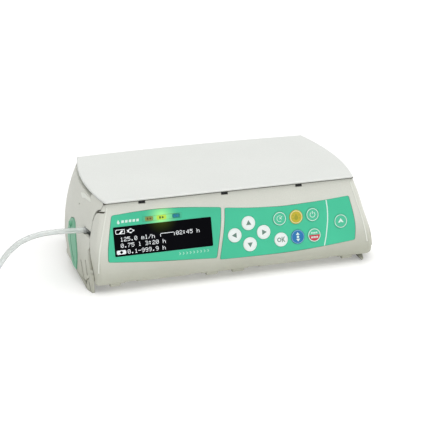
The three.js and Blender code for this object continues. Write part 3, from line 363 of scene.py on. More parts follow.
def loft(levels):
    rings = [[(x, y, z) for x, y in ps] for z, ps in levels]
    n = len(rings[0]); v = [p for r in rings for p in r]; f = []
    for k in range(len(rings) - 1):
        for i in range(n):
            a, b = k * n + i, k * n + (i + 1) % n
            f.append([a, b, b + n, a + n])
    f.append(list(range(n))[::-1]); f.append([(len(rings) - 1) * n + i for i in range(n)])
    return solid("loft", v, f)


Z_OUT = [4.5 + 12.7 * (1 - math.cos(math.pi / 2 * i / 26)) for i in range(27)] + [17.2 + 48.8 * i / 26 for i in range(1, 27)]
Z_IN = [7.0, 9.0, 12, 17.2, 24, 30, 36, 42, 48, 54, 60, 66.5]


def envelope(t):
    return loft([(z, outline(min(z, 66), t)) for z in (Z_OUT if t < 0.5 else Z_IN)])


def finish_piece(o, name, mat, body, *nodes, slot=None, angle=28, weighted=True):
    o.name = name; o.data.name = name
    o.data.transform(Matrix.Scale(0.001, 4))
    o.data.materials.clear(); o.data.materials.append(mat)
    for p in o.data.polygons: p.material_index = 0
    bm = bmesh.new(); bm.from_mesh(o.data)
    bmesh.ops.remove_doubles(bm, verts=bm.verts, dist=4e-6)
    bmesh.ops.dissolve_degenerate(bm, edges=bm.edges, dist=2e-6)
    bm.to_mesh(o.data); bm.free()
    o.data.shade_smooth(); o.data.set_sharp_from_angle(angle=math.radians(angle))
    if weighted:
        w = o.modifiers.new("normals", "WEIGHTED_NORMAL"); w.keep_sharp = True; w.weight = 80
    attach(o, body)
    if nodes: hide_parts(*nodes)
    return o


def join(objs):
    base = objs[0]; bm = bmesh.new()
    for o in objs: bm.from_mesh(o.data)
    bm.to_mesh(base.data); bm.free()
    for o in objs[1:]:
        d = o.data; bpy.data.objects.remove(o); bpy.data.meshes.remove(d)
    return base


# ---------------------------------------------------------------- the shells
OUTER, INNER, SKIN = envelope(0), envelope(2.5), envelope(1.3)
TOP_EDGE = [(-47.3, 60.6), (-47.3, 65.4), (-95, 65.4)]
DOOR_EDGE = [(-95, -5), (-55.8, -5), (-55.8, 9.5), (-55.2, 14), (-53.6, 19), (-51.0, 25.2), (-48.2, 31.2), (-45.6, 36.6), (-43.6, 41.4), (-42.3, 46.5), (-41.8, 51.5), (-42.0, 55.2), (-43.2, 58.2), (-45.2, 59.81)]
CHEEK_YZ = [(-31, -5), (-44.5, -5), (-44.5, 4.6), (-46.5, 7.6), (-50.4, 10.4), (-53.6, 14.3), (-53.05, 18.8), (-50.5, 24.95), (-47.7, 30.95), (-45.1, 36.35), (-43.1, 41.2), (-41.78, 46.4), (-41.1, 51.5), (-40.8, 54.2), (-41.3, 56.6), (-42.3, 58.4), (-43.3, 60.0), (-43.3, 62), (-31, 62)]
SLOT_YZ = [(-54.4, 17.4), (-51.4, 17.4), (-46.0, 29.6), (-46.9, 31.4), (-48.6, 31.6)]
KNUCKLES = [(-84.5, -76), (-34.5, -26.2), (11, 19), (76, 83.5)]
PADS = [(-96, -88.5), (-22.2, -13.7), (-1.7, 7), (86.6, 94.6)]
LOCK_YZ = [(-29.2, 9.4), (-25.5, 7.6), (-21.5, 10), (-15, 15.5), (-7, 20.6), (3.5, 24), (7, 28.5), (6.6, 34.5), (3, 38.6), (-5, 40.6), (-11, 38.8), (-17, 33.2), (-23, 27), (-27.4, 21), (-29.2, 15.5)]

housing = twin(OUTER)
body_zone = prism_x([(-31.9, -5), (95, -5), (95, 80), (-46.8, 80), (-46.8, 61.3), (-31.9, 56.0)], -130, 130)
add(body_zone, prism_x(CHEEK_YZ, -130, -98.9), prism_x(CHEEK_YZ, 98.9, 130))
both(housing, body_zone)
cut(housing, both(twin(INNER), block(-130, 130, -60, -31.85, 7, 54)), prism_x(SLOT_YZ, -130, 130))
cut(housing, both(twin(INNER), prism_x([(-34, 7), (58.8, 7), (58.8, 59), (-29, 59), (-29, 53.4), (-34, 53.4)], -130, 130)),
    both(loft([(58.5, outline(66, 7)), (66.5, outline(66, 7))]), prism_x([(-40, 63.4), (-27, 58.4), (54, 58.4), (54, 67), (-40, 67)], -130, 130)))
gi = [(plan_half(-24.5 + 82 * i / 30) - 3.4, -24.5 + 82 * i / 30) for i in range(31)]
groove = cut(block(-130, 130, -24, 57, 63.3, 66.4), prism_z(gi + [(-x, y) for x, y in reversed(gi)], 63, 67))
cut(housing, groove)
cut(housing, add(cyl_x(2.5, -130, -95, -32, 41), block(-130, -95, -46, -32, 38.5, 43.5)), add(cyl_x(4.2, 95, 130, -32, 41), block(95, 130, -46, -32, 36.8, 45.2)),
    block(19, 86, 50, 70, 9.2, 41), block(-31, -11, 50, 70, 13.7, 26.3), block(-7.3, 7.3, 50, 70, 13.7, 23.3), block(-91, -41, 50, 70, 15.7, 50.3))
POSTS = [(-92, -2), (-92, 46), (-4, -2), (-4, 46)]; BOSSES = [(-84, -20), (84, -20), (-84, 49), (10, 49)]
add(housing, block(16.4, 18.6, 4, 59.2, 6.9, 42.5), block(86.4, 88.6, 4, 59.2, 6.9, 42.5), block(24, 27, 6, 58.9, 6.9, 9.3), block(78, 81, 6, 58.9, 6.9, 9.3),
    *[cyl_z(2.6, 6.9, 11.7, x, y, 24) for x, y in POSTS], *[cyl_z(5, 6.9, 12, x, y, 32) for x, y in BOSSES],
    both(block(-111, -98, -26.7, -25.6, 7.1, 53.6), twin(SKIN)), both(block(98, 111, -26.7, -25.6, 7.1, 53.6), twin(SKIN)))
cut(housing, *[cyl_z(3.4, 3, 7.2, x, y, 32) for x, y in BOSSES], *[cyl_z(1.8, 3, 11, x, y, 24) for x, y in BOSSES])
barrel = [(-54.5 + 2.9 * math.cos(math.radians(a)), 9 + 2.9 * math.sin(math.radians(a))) for a in range(-100, -321, -20)]
ARM = [(-29, 3.0), (-48.6, 3.0), (-49.8, 3.6)] + barrel + [(-50, 6.3), (-33, 6.3), (-31.5, 7.1), (-29, 7.1)]
for x0, x1 in KNUCKLES: add(housing, prism_x(ARM, x0, x1))
cut(housing, cyl_x(1.55, -98, 93, -54.5, 9), prism_x(grow(LOCK_YZ, 0.55), -130, -101))


def stroke(line, w):
    """A band of width w along a line, as one outline."""
    l, r = [], []
    for i, p in enumerate(line):
        q0, q1 = line[max(0, i - 1)], line[min(len(line) - 1, i + 1)]
        d = math.hypot(q1[0] - q0[0], q1[1] - q0[1]); nx, ny = -(q1[1] - q0[1]) / d * w / 2, (q1[0] - q0[0]) / d * w / 2
        l.append((p[0] + nx, p[1] + ny)); r.append((p[0] - nx, p[1] - ny))
    return l + r[::-1]


for sgn in (-1, 1):
    rng = (-130, -95) if sgn < 0 else (95, 130)
    for line, w in (([(-35.4, 19.2), (-37.4, 17.2), (-39.9, 14.0), (-42.2, 10.4), (-44.0, 6.4)], 1.3), ([(-43.6, 22.0), (-45.6, 18.8), (-47.2, 15.6), (-48.8, 12.0)], 1.1)):
        cut(housing, cut(prism_x(stroke(line, w * 0.85), *rng), envelope(0.55)))
    cut(housing, prism_x(stroke([(-41.0, 51.0), (-40.95, 54.6), (-41.7, 57.4), (-43.2, 59.5)], 1.3), *rng),
        prism_x([(-55.5, 17.0), (-50.9, 17.0), (-45.3, 30.2), (-46.6, 32.6), (-49.5, 32.0)], *((-130, -98.9) if sgn < 0 else (98.9, 130))))
cut(housing, cut(cyl_x(0.75, -130, -95, -7.5, 52.9, 24), envelope(0.6)))
finish_piece(housing, "housing_shell", SHELL, "pump_body", "main_housing", slot="shell")

EDGE_LINE = [(-95.0, 56.8), (-96.1, 52.4), (-98.2, 44.5), (-99.8, 38.4), (-101.1, 33.8), (-102.9, 26.7), (-104.0, 20.6), (-104.8, 15.0), (-105.3, 9.6)]
# the beads along the front face's side edges are lighter than the shell: painted highlight on the edge
for nm, sg in (("left", 1), ("right", -1)):
    ln = [(x * sg, v) for x, v in EDGE_LINE]
    finish_piece(on_face(stroke(ln, 0.85), -0.5, 0.28), "face_bead_" + nm, HIGHLIGHT_PLASTIC, "door", slot="shell")
# dark inserts in the three top notches: painted shade inside the notches
for i, x in enumerate((-68.7, -5.4, 53.2)):
    finish_piece(block(x - 2.5, x + 2.5, -47.15, -46.4, 63.5, 66.05), "notch_shade_insert_%d" % (i + 1), DARK, "pump_body", slot="dark")
# a dark strip along the seam under the top plate's front edge: painted shade of the seam's shadow line
finish_piece(block(-97.4, 97.4, -48.5, -47.36, 65.42, 66.3), "seam_shade_strip", SEAL_AND_SHADE, "pump_body", slot="dark")
# the embossed flank arrow in the lighter plastic: painted highlight
emb = [(-2.4, 60.0), (-8.4, 61.7), (-24, 62.4), (-28.2, 60.9), (-22.5, 60.6), (-15.4, 60.0), (-10.3, 58.4)]
emb = cut(both(envelope(-0.3), prism_x(emb, -130, -95)), envelope(0.8))
finish_piece(emb, "flank_arrow", HIGHLIGHT_PLASTIC, "pump_body", slot="shell")
PANEL_L = [(-92.1, 50.6), (-94.7, 38.2), (-97, 24.4), (-97.3, 16.7), (-75.6, 14.6), (-53.9, 13), (-32, 11.7), (-15.4, 10.5), (-11.6, 27.3), (-9.7, 38.4), (-9.1, 48.1), (-36, 50.9), (-57.8, 52.1), (-75.9, 51.6)]
PANEL_R = [(-6.1, 47.4), (-6.7, 38.4), (-8.6, 27.3), (-12.9, 9.2), (11.5, 8.7), (42.3, 8.6), (71.2, 10), (95.3, 12), (96.8, 23.1), (95.2, 34.9), (92.6, 46.3), (73.9, 44.9), (45.2, 43.8), (37.2, 43.8), (14.5, 45.1)]
PL, PR = eased(PANEL_L, 1.6), eased(PANEL_R, 1.6)
KEYS = {"key_up": (11.3, 33.9), "key_down": (11.3, 17.9), "key_left": (-0.1, 25.9), "key_right": (22.7, 25.9), "key_ok": (36, 18.7), "key_clear": (36, 34.6),
        "key_bolus": (49.2, 34.5), "key_power": (62.4, 34.9), "key_connect": (49.4, 19.3), "key_start_stop": (62.7, 19.2), "key_open": (84.8, 27.5)}
DISPLAY = (-92, -17.3, 20, 41.9); LEDS = (-69.2, -39.8, 43.6, 47.4)
door = twin(OUTER)
zone = add(prism_x([(-95, -5), (-33.0, -5), (-33.0, 4.6), (-32.4, 9), (-32.4, 55.0)] + TOP_EDGE, -98.2, 98.2), prism_x(DOOR_EDGE + TOP_EDGE, -130, 130))
both(door, zone)
hollow = both(both(both(loft([(z, outline(min(z, 66), 2.5)) for z in Z_IN]), prism_x([(-95, 7.2), (-30, 7.2), (-30, 52.6), (-46, 58.6), (-46, 62), (-95, 62)], -130, 130)),
                   on_face(rect(-130, 130, -20, 80), -60, -3.2)), block(-95.9, 95.9, -100, 0, 0, 80))
cut(door, hollow)
cut(door, on_face(grow(PL, 0.25), -0.9, 3), on_face(grow(PR, 0.25), -0.9, 3),
    on_face(rect(DISPLAY[0] + 1, DISPLAY[1] - 1, DISPLAY[2] + 1, DISPLAY[3] - 1), -8, 3), on_face(rect(LEDS[0] + 0.8, LEDS[1] - 0.8, LEDS[2] + 0.7, LEDS[3] - 0.7), -8, 3))
for x, v in KEYS.values(): cut(door, on_face(circle(x, v, 5.8, 32), -12, 3))
for x0, x1 in KNUCKLES:
    add(door, both(prism_x([(-61, 6.5), (-52, 4.6), (-49.4, 4.6), (-49.4, 13.4), (-61, 13.4)], max(x0 - 3, -98), x1 + 3), twin(SKIN)))
bay = [(-54.5 + 3.28 * math.cos(math.radians(a)), 9 + 3.28 * math.sin(math.radians(a))) for a in range(10, 181, 17)]
for x0, x1 in KNUCKLES:
    cut(door, prism_x([(-61.2, 3), (-30, 3), (-30, 6.9), (-49.4, 6.9)] + bay + [(-60.7, 4.4)], x0 - 0.5, x1 + 0.5))
add(door, *[prism_x([(-53.2, 3.8), (-53.6, 3.6), (-56.1, 3.5), (-56.7, 3.7), (-58.0, 4.9), (-58.6, 7.5), (-53.2, 6.9)], x0, x1) for x0, x1 in PADS])
cut(door, cyl_x(1.58, -98, 95.2, -54.5, 9), cyl_x(2.5, -130, -95, -32, 41), cyl_x(4.2, 95, 130, -32, 41), *[block(x - 2.6, x + 2.6, -52, -45, 63.4, 67) for x in (-68.7, -5.4, 53.2)])
ledge = cut(block(-97, 97, -39.4, -37.3, 7.05, 53.4), block(-92.5, 92.5, -45, -30, 12.5, 49.6))
add(door, cut(ledge, *[block(x0 - 0.5, x1 + 0.5, -60, -30, 3, 8.6) for x0, x1 in KNUCKLES]))
HOOK = [(-41.6, 55.8), (-42.4, 57.3), (-43.7, 58.3), (-45.4, 58.95), (-47.4, 59.4), (-49.7, 59.75)]
cut(door, cut(prism_x(stroke(HOOK, 1.25), -130, -95), envelope(1.1)))
finish_piece(door, "door_body", SHELL, "door", "door_shell", slot="shell")
for nm, rng in (("left", (-130, -95)), ("right", (95, 130))):
    if nm == "left": finish_piece(both(cut(prism_x(stroke(HOOK[1:], 1.15), *rng), envelope(1.05)), envelope(0.45)), "side_gasket_" + nm, SEAL_AND_SHADE, "door", slot="dark")
    g = both(cut(prism_x([(-54.7, 17.3), (-51.2, 17.3), (-45.9, 30.0), (-46.9, 31.9), (-49.1, 31.5)], *rng), envelope(3.2)), envelope(1.7))
    finish_piece(g, "side_seal_" + nm, OLIVE, "pump_body", slot="dark")

# top cover with a rolled rim, and the locating rim under it
NOSE = [(-55.5, 0.0), (27, 0.0), (27, 4.45), (-44.3, 4.45), (-46.2, 7.9), (-50.1, 10.75), (-53.4, 14.6), (-54.9, 13.9), (-55.3, 11.0), (-55.5, 8.5)]
rail = both(both(prism_x(NOSE, -112, -107.6), prism_y([(-112, 3.4), (-112, 0.7), (-111.7, 0.2), (-111.3, 0), (-107.6, 0), (-107.6, 14.5), (-109.6, 14.5), (-110.3, 10), (-111.2, 4.45)], -60, 30)),
            prism_z([(-107.6, -56), (-107.6, 28), (-112, 28), (-112, -46), (-111.2, -49.6), (-110.1, -53), (-109.5, -55.0), (-109.1, -56)], -1, 15))
cut(rail, cut(prism_x(stroke([(-43.9, 6.6), (-45.6, 3.2), (-47.0, -0.5)], 1.3), -130, -100), block(-110.9, -100, -60, 0, -5, 20)),
    cut(prism_x(stroke([(-48.6, 12.4), (-50.6, 8.2), (-52.4, 3.6), (-53.4, 0.8)], 1.1), -130, -100), prism_z([(-111.0, -46), (-110.2, -49.6), (-109.1, -53), (-108.7, -56), (-100, -56), (-100, -40), (-111, -40)], -5, 20)))
finish_piece(rail, "rail_left", SHELL, "pump_body", "left_rail", slot="shell")
foot_r = both(prism_y([(100.7, 4.35), (103.7, 0.0), (104.7, 0.0), (105.2, 0.9), (105.5, 4.35)], -60, 30), prism_x([(-55.5, 0.0), (27, 0.0), (27, 4.35), (-51.6, 4.2), (-55.5, 1.4)], 99, 108))
finish_piece(foot_r, "rail_right", SHELL, "pump_body", "right_rail", slot="shell")
# a dark strip on the right foot's sloping inner face: painted shade of that face
finish_piece(prism_y([(101.5, 3.0), (103.3, 0.3), (103.45, 0.42), (101.75, 3.2)], -52.3, 26), "foot_shade_strip_right", SEAL_AND_SHADE, "pump_body", slot="dark")


def cover_ring(t, z):
    n = 40; f = -50.6 + (68.0 - z) * 0.9 + t; ym = 59.0 - t
    ps = [(plan_half(f + 2 + (ym - f - 2) * i / n) + 0.4 - t, f + 2 + (ym - f - 2) * i / n) for i in range(n + 1)]
    front = [(ps[0][0] - 2 * (1 - math.sin(math.pi / 2 * i / 6)), f + 2 - 2 * math.cos(math.pi / 2 * i / 6)) for i in range(6)]
    xe = ps[-1][0]
    corner = [(xe - 2.4 * (1 - math.cos(math.pi / 2 * i / 6)), ps[-1][1] + (back_y(xe - 2.4) - t - ps[-1][1]) * math.sin(math.pi / 2 * i / 6)) for i in range(1, 6)]
    b = [((xe - 2.4) * (1 - 2 * i / 40), back_y((xe - 2.4) * (1 - 2 * i / 40)) - t) for i in range(41)]
    half = front + ps + corner
    return half + b + [(-x, y) for x, y in reversed(half)]


cover = loft([(66.25, cover_ring(0.45, 67.2)), (66.4, cover_ring(0.18, 67.3)), (66.7, cover_ring(0.0, 67.6)), (67.1, cover_ring(0, 67.9)), (67.45, cover_ring(0.08, 68)),
              (67.7, cover_ring(0.28, 68)), (67.88, cover_ring(0.55, 68)), (67.97, cover_ring(0.9, 68)), (68.0, cover_ring(1.4, 68))])
rim = lambda t, lo, hi: [(x, min(hi, max(lo, y))) for x, y in outline(66, t)]
skirt = both(loft([(63.2, rim(7.6, -39.6, 53.6)), (66.4, rim(7.6, -39.6, 53.6))]), prism_x([(-39.6, 64.2), (53.6, 63.2), (53.6, 67), (-39.6, 67)], -130, 130))
cut(skirt, loft([(62, rim(9.4, -37.8, 51.8)), (66.25, rim(9.4, -37.8, 51.8))]))
finish_piece(add(cover, skirt), "cover_plate", COVER, "pump_body", "top_cover", slot="cover")

# --------------------------------------------------------------- front panel
pl = cut(on_face(PL, -0.6, 0), on_face(rect(*DISPLAY, 0.8), -3, 3), on_face(rect(*LEDS, 0.6), -3, 3))
finish_piece(pl, "foil_left", GREEN, "door", "left_panel", slot="green")
GREEN_R = GREEN.copy(); GREEN_R.name = "panel_foil_right"
pr = on_face(PR, -0.6, 0)
for x, v in KEYS.values(): cut(pr, on_face(circle(x, v, 5.45, 48), -3, 3))
finish_piece(pr, "foil_right", GREEN_R, "door", "right_panel", slot="green")
win = on_face(rect(DISPLAY[0] + 0.15, DISPLAY[1] - 0.15, DISPLAY[2] + 0.15, DISPLAY[3] - 0.15, 0.8), -0.6, 0.05)
finish_piece(win, "display_glass", WINDOW, "door", "display_window", slot="window")
strip = add(on_face(rect(LEDS[0] + 0.15, LEDS[1] - 0.15, LEDS[2] + 0.15, LEDS[3] - 0.15, 0.6), -0.6, 0.06), on_face(rect(LEDS[0] + 1.1, LEDS[1] - 1.1, LEDS[2] + 1.0, LEDS[3] - 1.0), -3.4, -0.59))
finish_piece(strip, "lamp_strip", LENS, "door", "led_lens", slot="lens")
lit = Vector(F3(-55, 45.6, 0.2)) / 1000
# painted light: a halo of the run lamp's light is painted as emission on the foil, lamp strip, display glass and shell
for m, s in ((GREEN, 0.66), (LENS, 0.62), (WINDOW, 0.10), (SHELL, 0.14)): paint_lamp_halo(m, lit, 0.0140, (0.66, 0.92, 0.05), s)
LAMP_A = make("lamp_amber", (0.24, 0.29, 0.075), 0.3, blotch=0.25, grain=1500, grain_bump=0.05, soft=0, coat=0.3, emit=(0.5, 0.6, 0.12), emit_strength=0.06)
LAMP_G = make("lamp_green", (0.34, 0.50, 0.055), 0.3, blotch=0.08, grain=1500, grain_bump=0.05, soft=0, emit=(0.62, 0.9, 0.08), emit_strength=0.34)
LAMP_B = make("lamp_blue", (0.013, 0.22, 0.20), 0.3, blotch=0.12, grain=1500, grain_bump=0.05, soft=0, coat=0.3, emit=(0.03, 0.4, 0.42), emit_strength=0.06)
INK_BROWN = make("ink_brown", (0.13, 0.085, 0.04), 0.5, blotch=0.1, grain=2600, grain_bump=0.1, soft=0)
INK_LEAF = make("ink_leaf", (0.06, 0.14, 0.03), 0.5, blotch=0.1, grain=2600, grain_bump=0.1, soft=0)
for nm, x, m, ink, w in (("lamp_alarm", -64.4, LAMP_A, INK_BROWN, 3.1), ("lamp_run", -55.0, LAMP_G, INK_LEAF, 3.7), ("lamp_link", -43.8, LAMP_B, KBLUE, 3.0)):
    finish_piece(on_face(rect(x - w, x + w, 43.95, 47.1, 0.9), 0.055, 0.16), nm, m, "door", slot="lens")
    g = join([on_face(rect(x - 1.7, x - 0.5, 44.7, 46.4, 0.3, 3), 0.155, 0.2), on_face(circle(x + 0.9, 45.5, 0.75, 20), 0.155, 0.2)])
    finish_piece(g, nm + "_mark", ink, "door", slot="lens", weighted=False)

FONT = {"0": "01110 10001 10011 10101 11001 10001 01110", "1": "00100 01100 00100 00100 00100 00100 01110", "2": "01110 10001 00001 00110 01000 10000 11111",
        "3": "11110 00001 00001 01110 00001 00001 11110", "4": "00010 00110 01010 10010 11111 00010 00010", "5": "11111 10000 11110 00001 00001 10001 01110",
        "6": "01110 10000 11110 10001 10001 10001 01110", "7": "11111 00001 00010 00100 01000 01000 01000", "8": "01110 10001 10001 01110 10001 10001 01110",
        "9": "01110 10001 10001 01111 00001 00001 01110", ".": "00000 00000 00000 00000 00000 01100 01100", ":": "00000 01100 01100 00000 01100 01100 00000",
        "m": "00000 00000 11010 10101 10101 10101 10101", "l": "01100 00100 00100 00100 00100 00100 01110", "/": "00001 00010 00010 00100 01000 01000 10000",
        "h": "10000 10000 10110 11001 10001 10001 10001", " ": "00000 00000 00000 00000 00000 00000 00000", "-": "00000 00000 00000 11111 00000 00000 00000",
        "i": "00100 00000 01100 00100 00100 00100 01110", "n": "00000 00000 10110 11001 10001 10001 10001", "%": "11001 11010 00010 00100 01000 01011 10011"}
PITCH = 0.44
BATTERY = ["0111111111111111", "1100000000000001", "1000000000111001", "1000000001111001", "1000000011110001", "1000000111100001", "1100001111000001", "0111111111111111"]
PLUG = ["00000111000000", "00011111100000", "11110000011000", "01110000001110", "01110000001110", "11110000011000", "00011111100000", "00000111000000"]
KEYBOX = ["0111111111111110", "1111111001111111", "1111110000111111", "1111100000011111", "1111110000111111", "1111111001111111", "0111111111111110"]
PROFILE = ["0111111111111111111111110", "1000000000000000000000001", "1000000000000000000000001", "1000000000000000000000001", "1000000000000000000000001", "1000000000000000000000001"]
bm = bmesh.new()


def dot_rows(rows, x, v):
    h = len(rows)
    for j, row in enumerate(rows):
        k = 0
        while k < len(row):                     # runs of lit pixels make one bar
            if row[k] == "1":
                e = k
                while e < len(row) and row[e] == "1": e += 1
                x0, x1 = x + k * PITCH, x + e * PITCH - 0.05; v1 = v + (h - j) * PITCH; v0 = v1 - PITCH + 0.05
                vs = [bm.verts.new(F3(a, b, d)) for d in (0.04, 0.10) for a, b in ((x0, v0), (x1, v0), (x1, v1), (x0, v1))]
                for f in ((3, 2, 1, 0), (4, 5, 6, 7), (0, 1, 5, 4), (1, 2, 6, 5), (2, 3, 7, 6), (3, 0, 4, 7)): bm.faces.new([vs[q] for q in f])
                k = e
            else: k += 1


def text_row(s, x, v):
    for i, ch in enumerate(s): dot_rows(FONT[ch].split(), x + i * 6 * PITCH, v)


dot_rows(BATTERY, -90.4, 36.4); dot_rows(PLUG, -81.8, 36.4)
text_row("125.0 ml/h", -87.2, 30.9); dot_rows(PROFILE, -57.0, 31.2); text_row("02:45 h", -45.0, 31.3)
text_row("0.75 l 3:20 h", -87.2, 26.3)
dot_rows(KEYBOX, -90.6, 21.5); text_row("0.1-999.9 h", -82.4, 21.5)
me = bpy.data.meshes.new("display_pixels"); bm.to_mesh(me); bm.free()
px = bpy.data.objects.new("display_pixels", me); COL.objects.link(px)
finish_piece(px, "display_pixels", PIXEL, "door", slot="lcd", weighted=False)


def ring(cx, cv, r0, r1, d0, d1, a0=0.0, a1=360.0, n=56):
    full = a1 - a0 >= 359.9; m = n if full else n + 1; v = []; f = []
    for i in range(m):
        a = math.radians(a0 + (a1 - a0) * i / n)
        for r, d in ((r0, d0), (r1, d0), (r1, d1), (r0, d1)): v.append(F3(cx + r * math.cos(a), cv + r * math.sin(a), d))
    for i in range(n if full else m - 1):
        j = (i + 1) % m
        for q in range(4): f.append([i * 4 + q, j * 4 + q, j * 4 + (q + 1) % 4, i * 4 + (q + 1) % 4])
    if not full: f.append([0, 1, 2, 3]); f.append([(m - 1) * 4 + q for q in (3, 2, 1, 0)])
    return solid("ring", v, f)


def mark(name, objs, m, body, slot):
    finish_piece(join(objs), name, m, body, slot=slot, weighted=False)


KEY_MAT = {"key_clear": KGREEN, "key_power": KGREEN, "key_open": KGREEN, "key_bolus": KYELLOW, "key_connect": KBLUE, "key_start_stop": KGREEN}
KEY_SLOT = {"key_clear": "keygreen", "key_power": "keygreen", "key_open": "keygreen", "key_bolus": "keyyellow", "key_connect": "keyblue", "key_start_stop": "keyred"}
D0, D1 = 0.47, 0.56
for key, (cx, cv) in KEYS.items():
    rows = [(-5.9, 1.6), (-4.4, 1.6), (-4.4, 6.25), (-3.55, 6.25), (-3.55, 5.3), (0.08, 5.3), (0.26, 5.24), (0.40, 5.08), (0.47, 4.85), (0.50, 4.5)]
    n = 64; v = []; f = []
    for d, r in rows: v += [F3(cx + r * math.cos(2 * math.pi * i / n), cv + r * math.sin(2 * math.pi * i / n), d) for i in range(n)]
    for k in range(len(rows) - 1): f += [[k * n + i, k * n + (i + 1) % n, (k + 1) * n + (i + 1) % n, (k + 1) * n + i] for i in range(n)]
    f += [list(range(n))[::-1], [(len(rows) - 1) * n + i for i in range(n)]]
    finish_piece(solid(key, v, f), key.replace("key_", "cap_"), KEY_MAT.get(key, KWHITE), key, key, slot=KEY_SLOT.get(key, "keywhite"))
    P = lambda *q: [(cx + a, cv + b) for a, b in q]
    s = KEY_SLOT.get(key, "keywhite"); nm = key.replace("key_", "mark_")
    if key in ("key_up", "key_down", "key_left", "key_right"):
        ang = {"key_right": 0, "key_up": 90, "key_left": 180, "key_down": 270}[key]
        tri = [(2.3, 0), (-1.3, 2.0), (-1.3, -2.0)]
        c0, s0 = math.cos(math.radians(ang)), math.sin(math.radians(ang))
        mark(nm, [on_face(eased([(cx + a * c0 - b * s0, cv + a * s0 + b * c0) for a, b in tri], 0.25, 4), D0, D1)], INK_GREY, key, s)
        mark(nm + "_ring", [ring(cx, cv, 4.15, 4.35, D0, D1 - 0.04)], INK_WHITE, key, s)
    elif key == "key_ok":
        mark(nm, [ring(cx - 1.6, cv, 1.0, 1.65, D0, D1, n=32), on_face(P((0.4, -2.0), (1.05, -2.0), (1.05, 2.0), (0.4, 2.0)), D0, D1),
                  on_face(P((1.1, 0.15), (2.2, 2.0), (3.0, 2.0), (1.75, 0.0), (3.1, -2.0), (2.3, -2.0), (1.1, -0.25)), D0, D1 - 0.01)], INK_GREY, key, s)
        mark(nm + "_ring", [ring(cx, cv, 4.15, 4.35, D0, D1 - 0.04)], INK_WHITE, key, s)
    elif key == "key_bolus":
        drop = [(0.0, 2.6), (0.55, 1.5), (1.25, 0.35), (1.55, -0.6), (1.35, -1.55), (0.75, -2.15), (0, -2.35), (-0.75, -2.15), (-1.35, -1.55), (-1.55, -0.6), (-1.25, 0.35), (-0.55, 1.5)]
        mark(nm, [on_face(P(*[(-a, b) for a, b in drop]), D0, D1), *[on_face(circle(cx + 2.75 * math.cos(q), cv + 2.75 * math.sin(q), 0.42, 12), D0, D1 - 0.01) for q in (0.5, 2.64, -0.35, 3.5)]], INK_OLIVE, key, s)
        mark(nm + "_ring", [ring(cx, cv, 4.3, 4.85, D0, D1)], make("ink_cream", (0.86, 0.80, 0.42), 0.45, blotch=0.06, grain=2600, soft=0), key, s)
    elif key == "key_connect":
        mark(nm, [on_face(P((-1.55, 1.5), (1.55, 1.5), (0, 3.5)), D0, D1), on_face(P((-1.55, -1.5), (0, -3.5), (1.55, -1.5)), D0, D1), on_face(circle(cx, cv, 1.0, 24), D0, D1)], INK_WHITE, key, s)
        mark(nm + "_ring", [ring(cx, cv, 4.75, 5.0, D0, D1)], make("ink_sky", (0.35, 0.60, 0.85), 0.45, blotch=0.06, grain=2600, soft=0), key, s)
    elif key == "key_start_stop":
        low = [(cx + 4.35 * math.cos(math.radians(a)), cv + 4.35 * math.sin(math.radians(a))) for a in range(176, 365, 6)]
        mark(nm + "_stop", [on_face(low, D0 - 0.2, D1 - 0.02)], KRED, key, s)
        mark(nm, [ring(cx, cv, 4.4, 4.95, D0, D1), *[on_face(P((a, 1.15), (a + w, 1.15), (a + w, 2.35), (a, 2.35)), D0, D1) for a, w in ((-2.4, 0.7), (-1.35, 0.45), (-0.5, 0.8), (0.7, 0.45), (1.6, 0.8))]], INK_WHITE, key, s)
        mark(nm + "_bars", [on_face(P((a, -2.3), (a + w, -2.3), (a + w, -0.9), (a, -0.9)), D0, D1 + 0.02) for a, w in ((-2.6, 1.0), (-1.2, 0.5), (-0.3, 1.0), (1.1, 0.5), (2.0, 0.7))], INK_WHITE, key, s)
    elif key == "key_power":
        mark(nm, [ring(cx, cv, 4.3, 4.75, D0, D1), ring(cx, cv, 1.75, 2.2, D0, D1, 122, 418, 40), on_face(P((-0.24, 0.4), (0.24, 0.4), (0.24, 2.7), (-0.24, 2.7)), D0, D1)], INK_WHITE, key, s)
    elif key == "key_clear":
        mark(nm, [ring(cx, cv, 4.45, 4.95, D0, D1), ring(cx, cv, 2.0, 2.35, D0, D1, 60, 300, 40), on_face(P((-0.2, -0.2), (0.1, -0.5), (2.2, 1.6), (1.9, 1.9)), D0, D1 - 0.01), on_face(P((-0.2, 0.9), (1.5, -0.8), (1.8, -0.5), (0.1, 1.2)), D0, D1 - 0.015)], INK_WHITE, key, s)
    elif key == "key_open":
        mark(nm, [ring(cx, cv, 4.55, 5.0, D0, D1), on_face(P((-2.3, -1.0), (-0.9, -1.0), (0, -0.2), (0.9, -1.0), (2.3, -1.0), (0, 2.2)), D0, D1)], INK_WHITE, key, s)

# printed line and the generic marks on the foils
sep = [(74.3, 44.85), (74.75, 39.5), (74.75, 34), (74.3, 28.5), (73.4, 23.4), (72.2, 17.0), (70.3, 10.15)]
sep = [(x - 0.42, v) for x, v in sep] + [(x + 0.42, v) for x, v in reversed(sep)]
mark("panel_divider", [on_face(sep, -0.05, 0.12)], INK_WHITE, "door", "green")
d = [(0.0, 1.7), (0.42, 0.75), (0.9, -0.1), (1.0, -0.75), (0.7, -1.35), (0, -1.6), (-0.7, -1.35), (-1.0, -0.75), (-0.9, -0.1), (-0.42, 0.75)]
mark("foil_mark_top", [on_face([(-87.6 + a, 45.4 + b) for a, b in d], -0.05, 0.06)] + [on_face([(x, 44.5), (x + w, 44.5), (x + w + 0.3, 46.4), (x + 0.3, 46.4)], -0.05, 0.06) for x, w in ((-85.4, 1.9), (-82.6, 1.9), (-79.8, 1.9), (-77.0, 1.9), (-74.2, 1.9))], INK_WHITE, "door", "green")
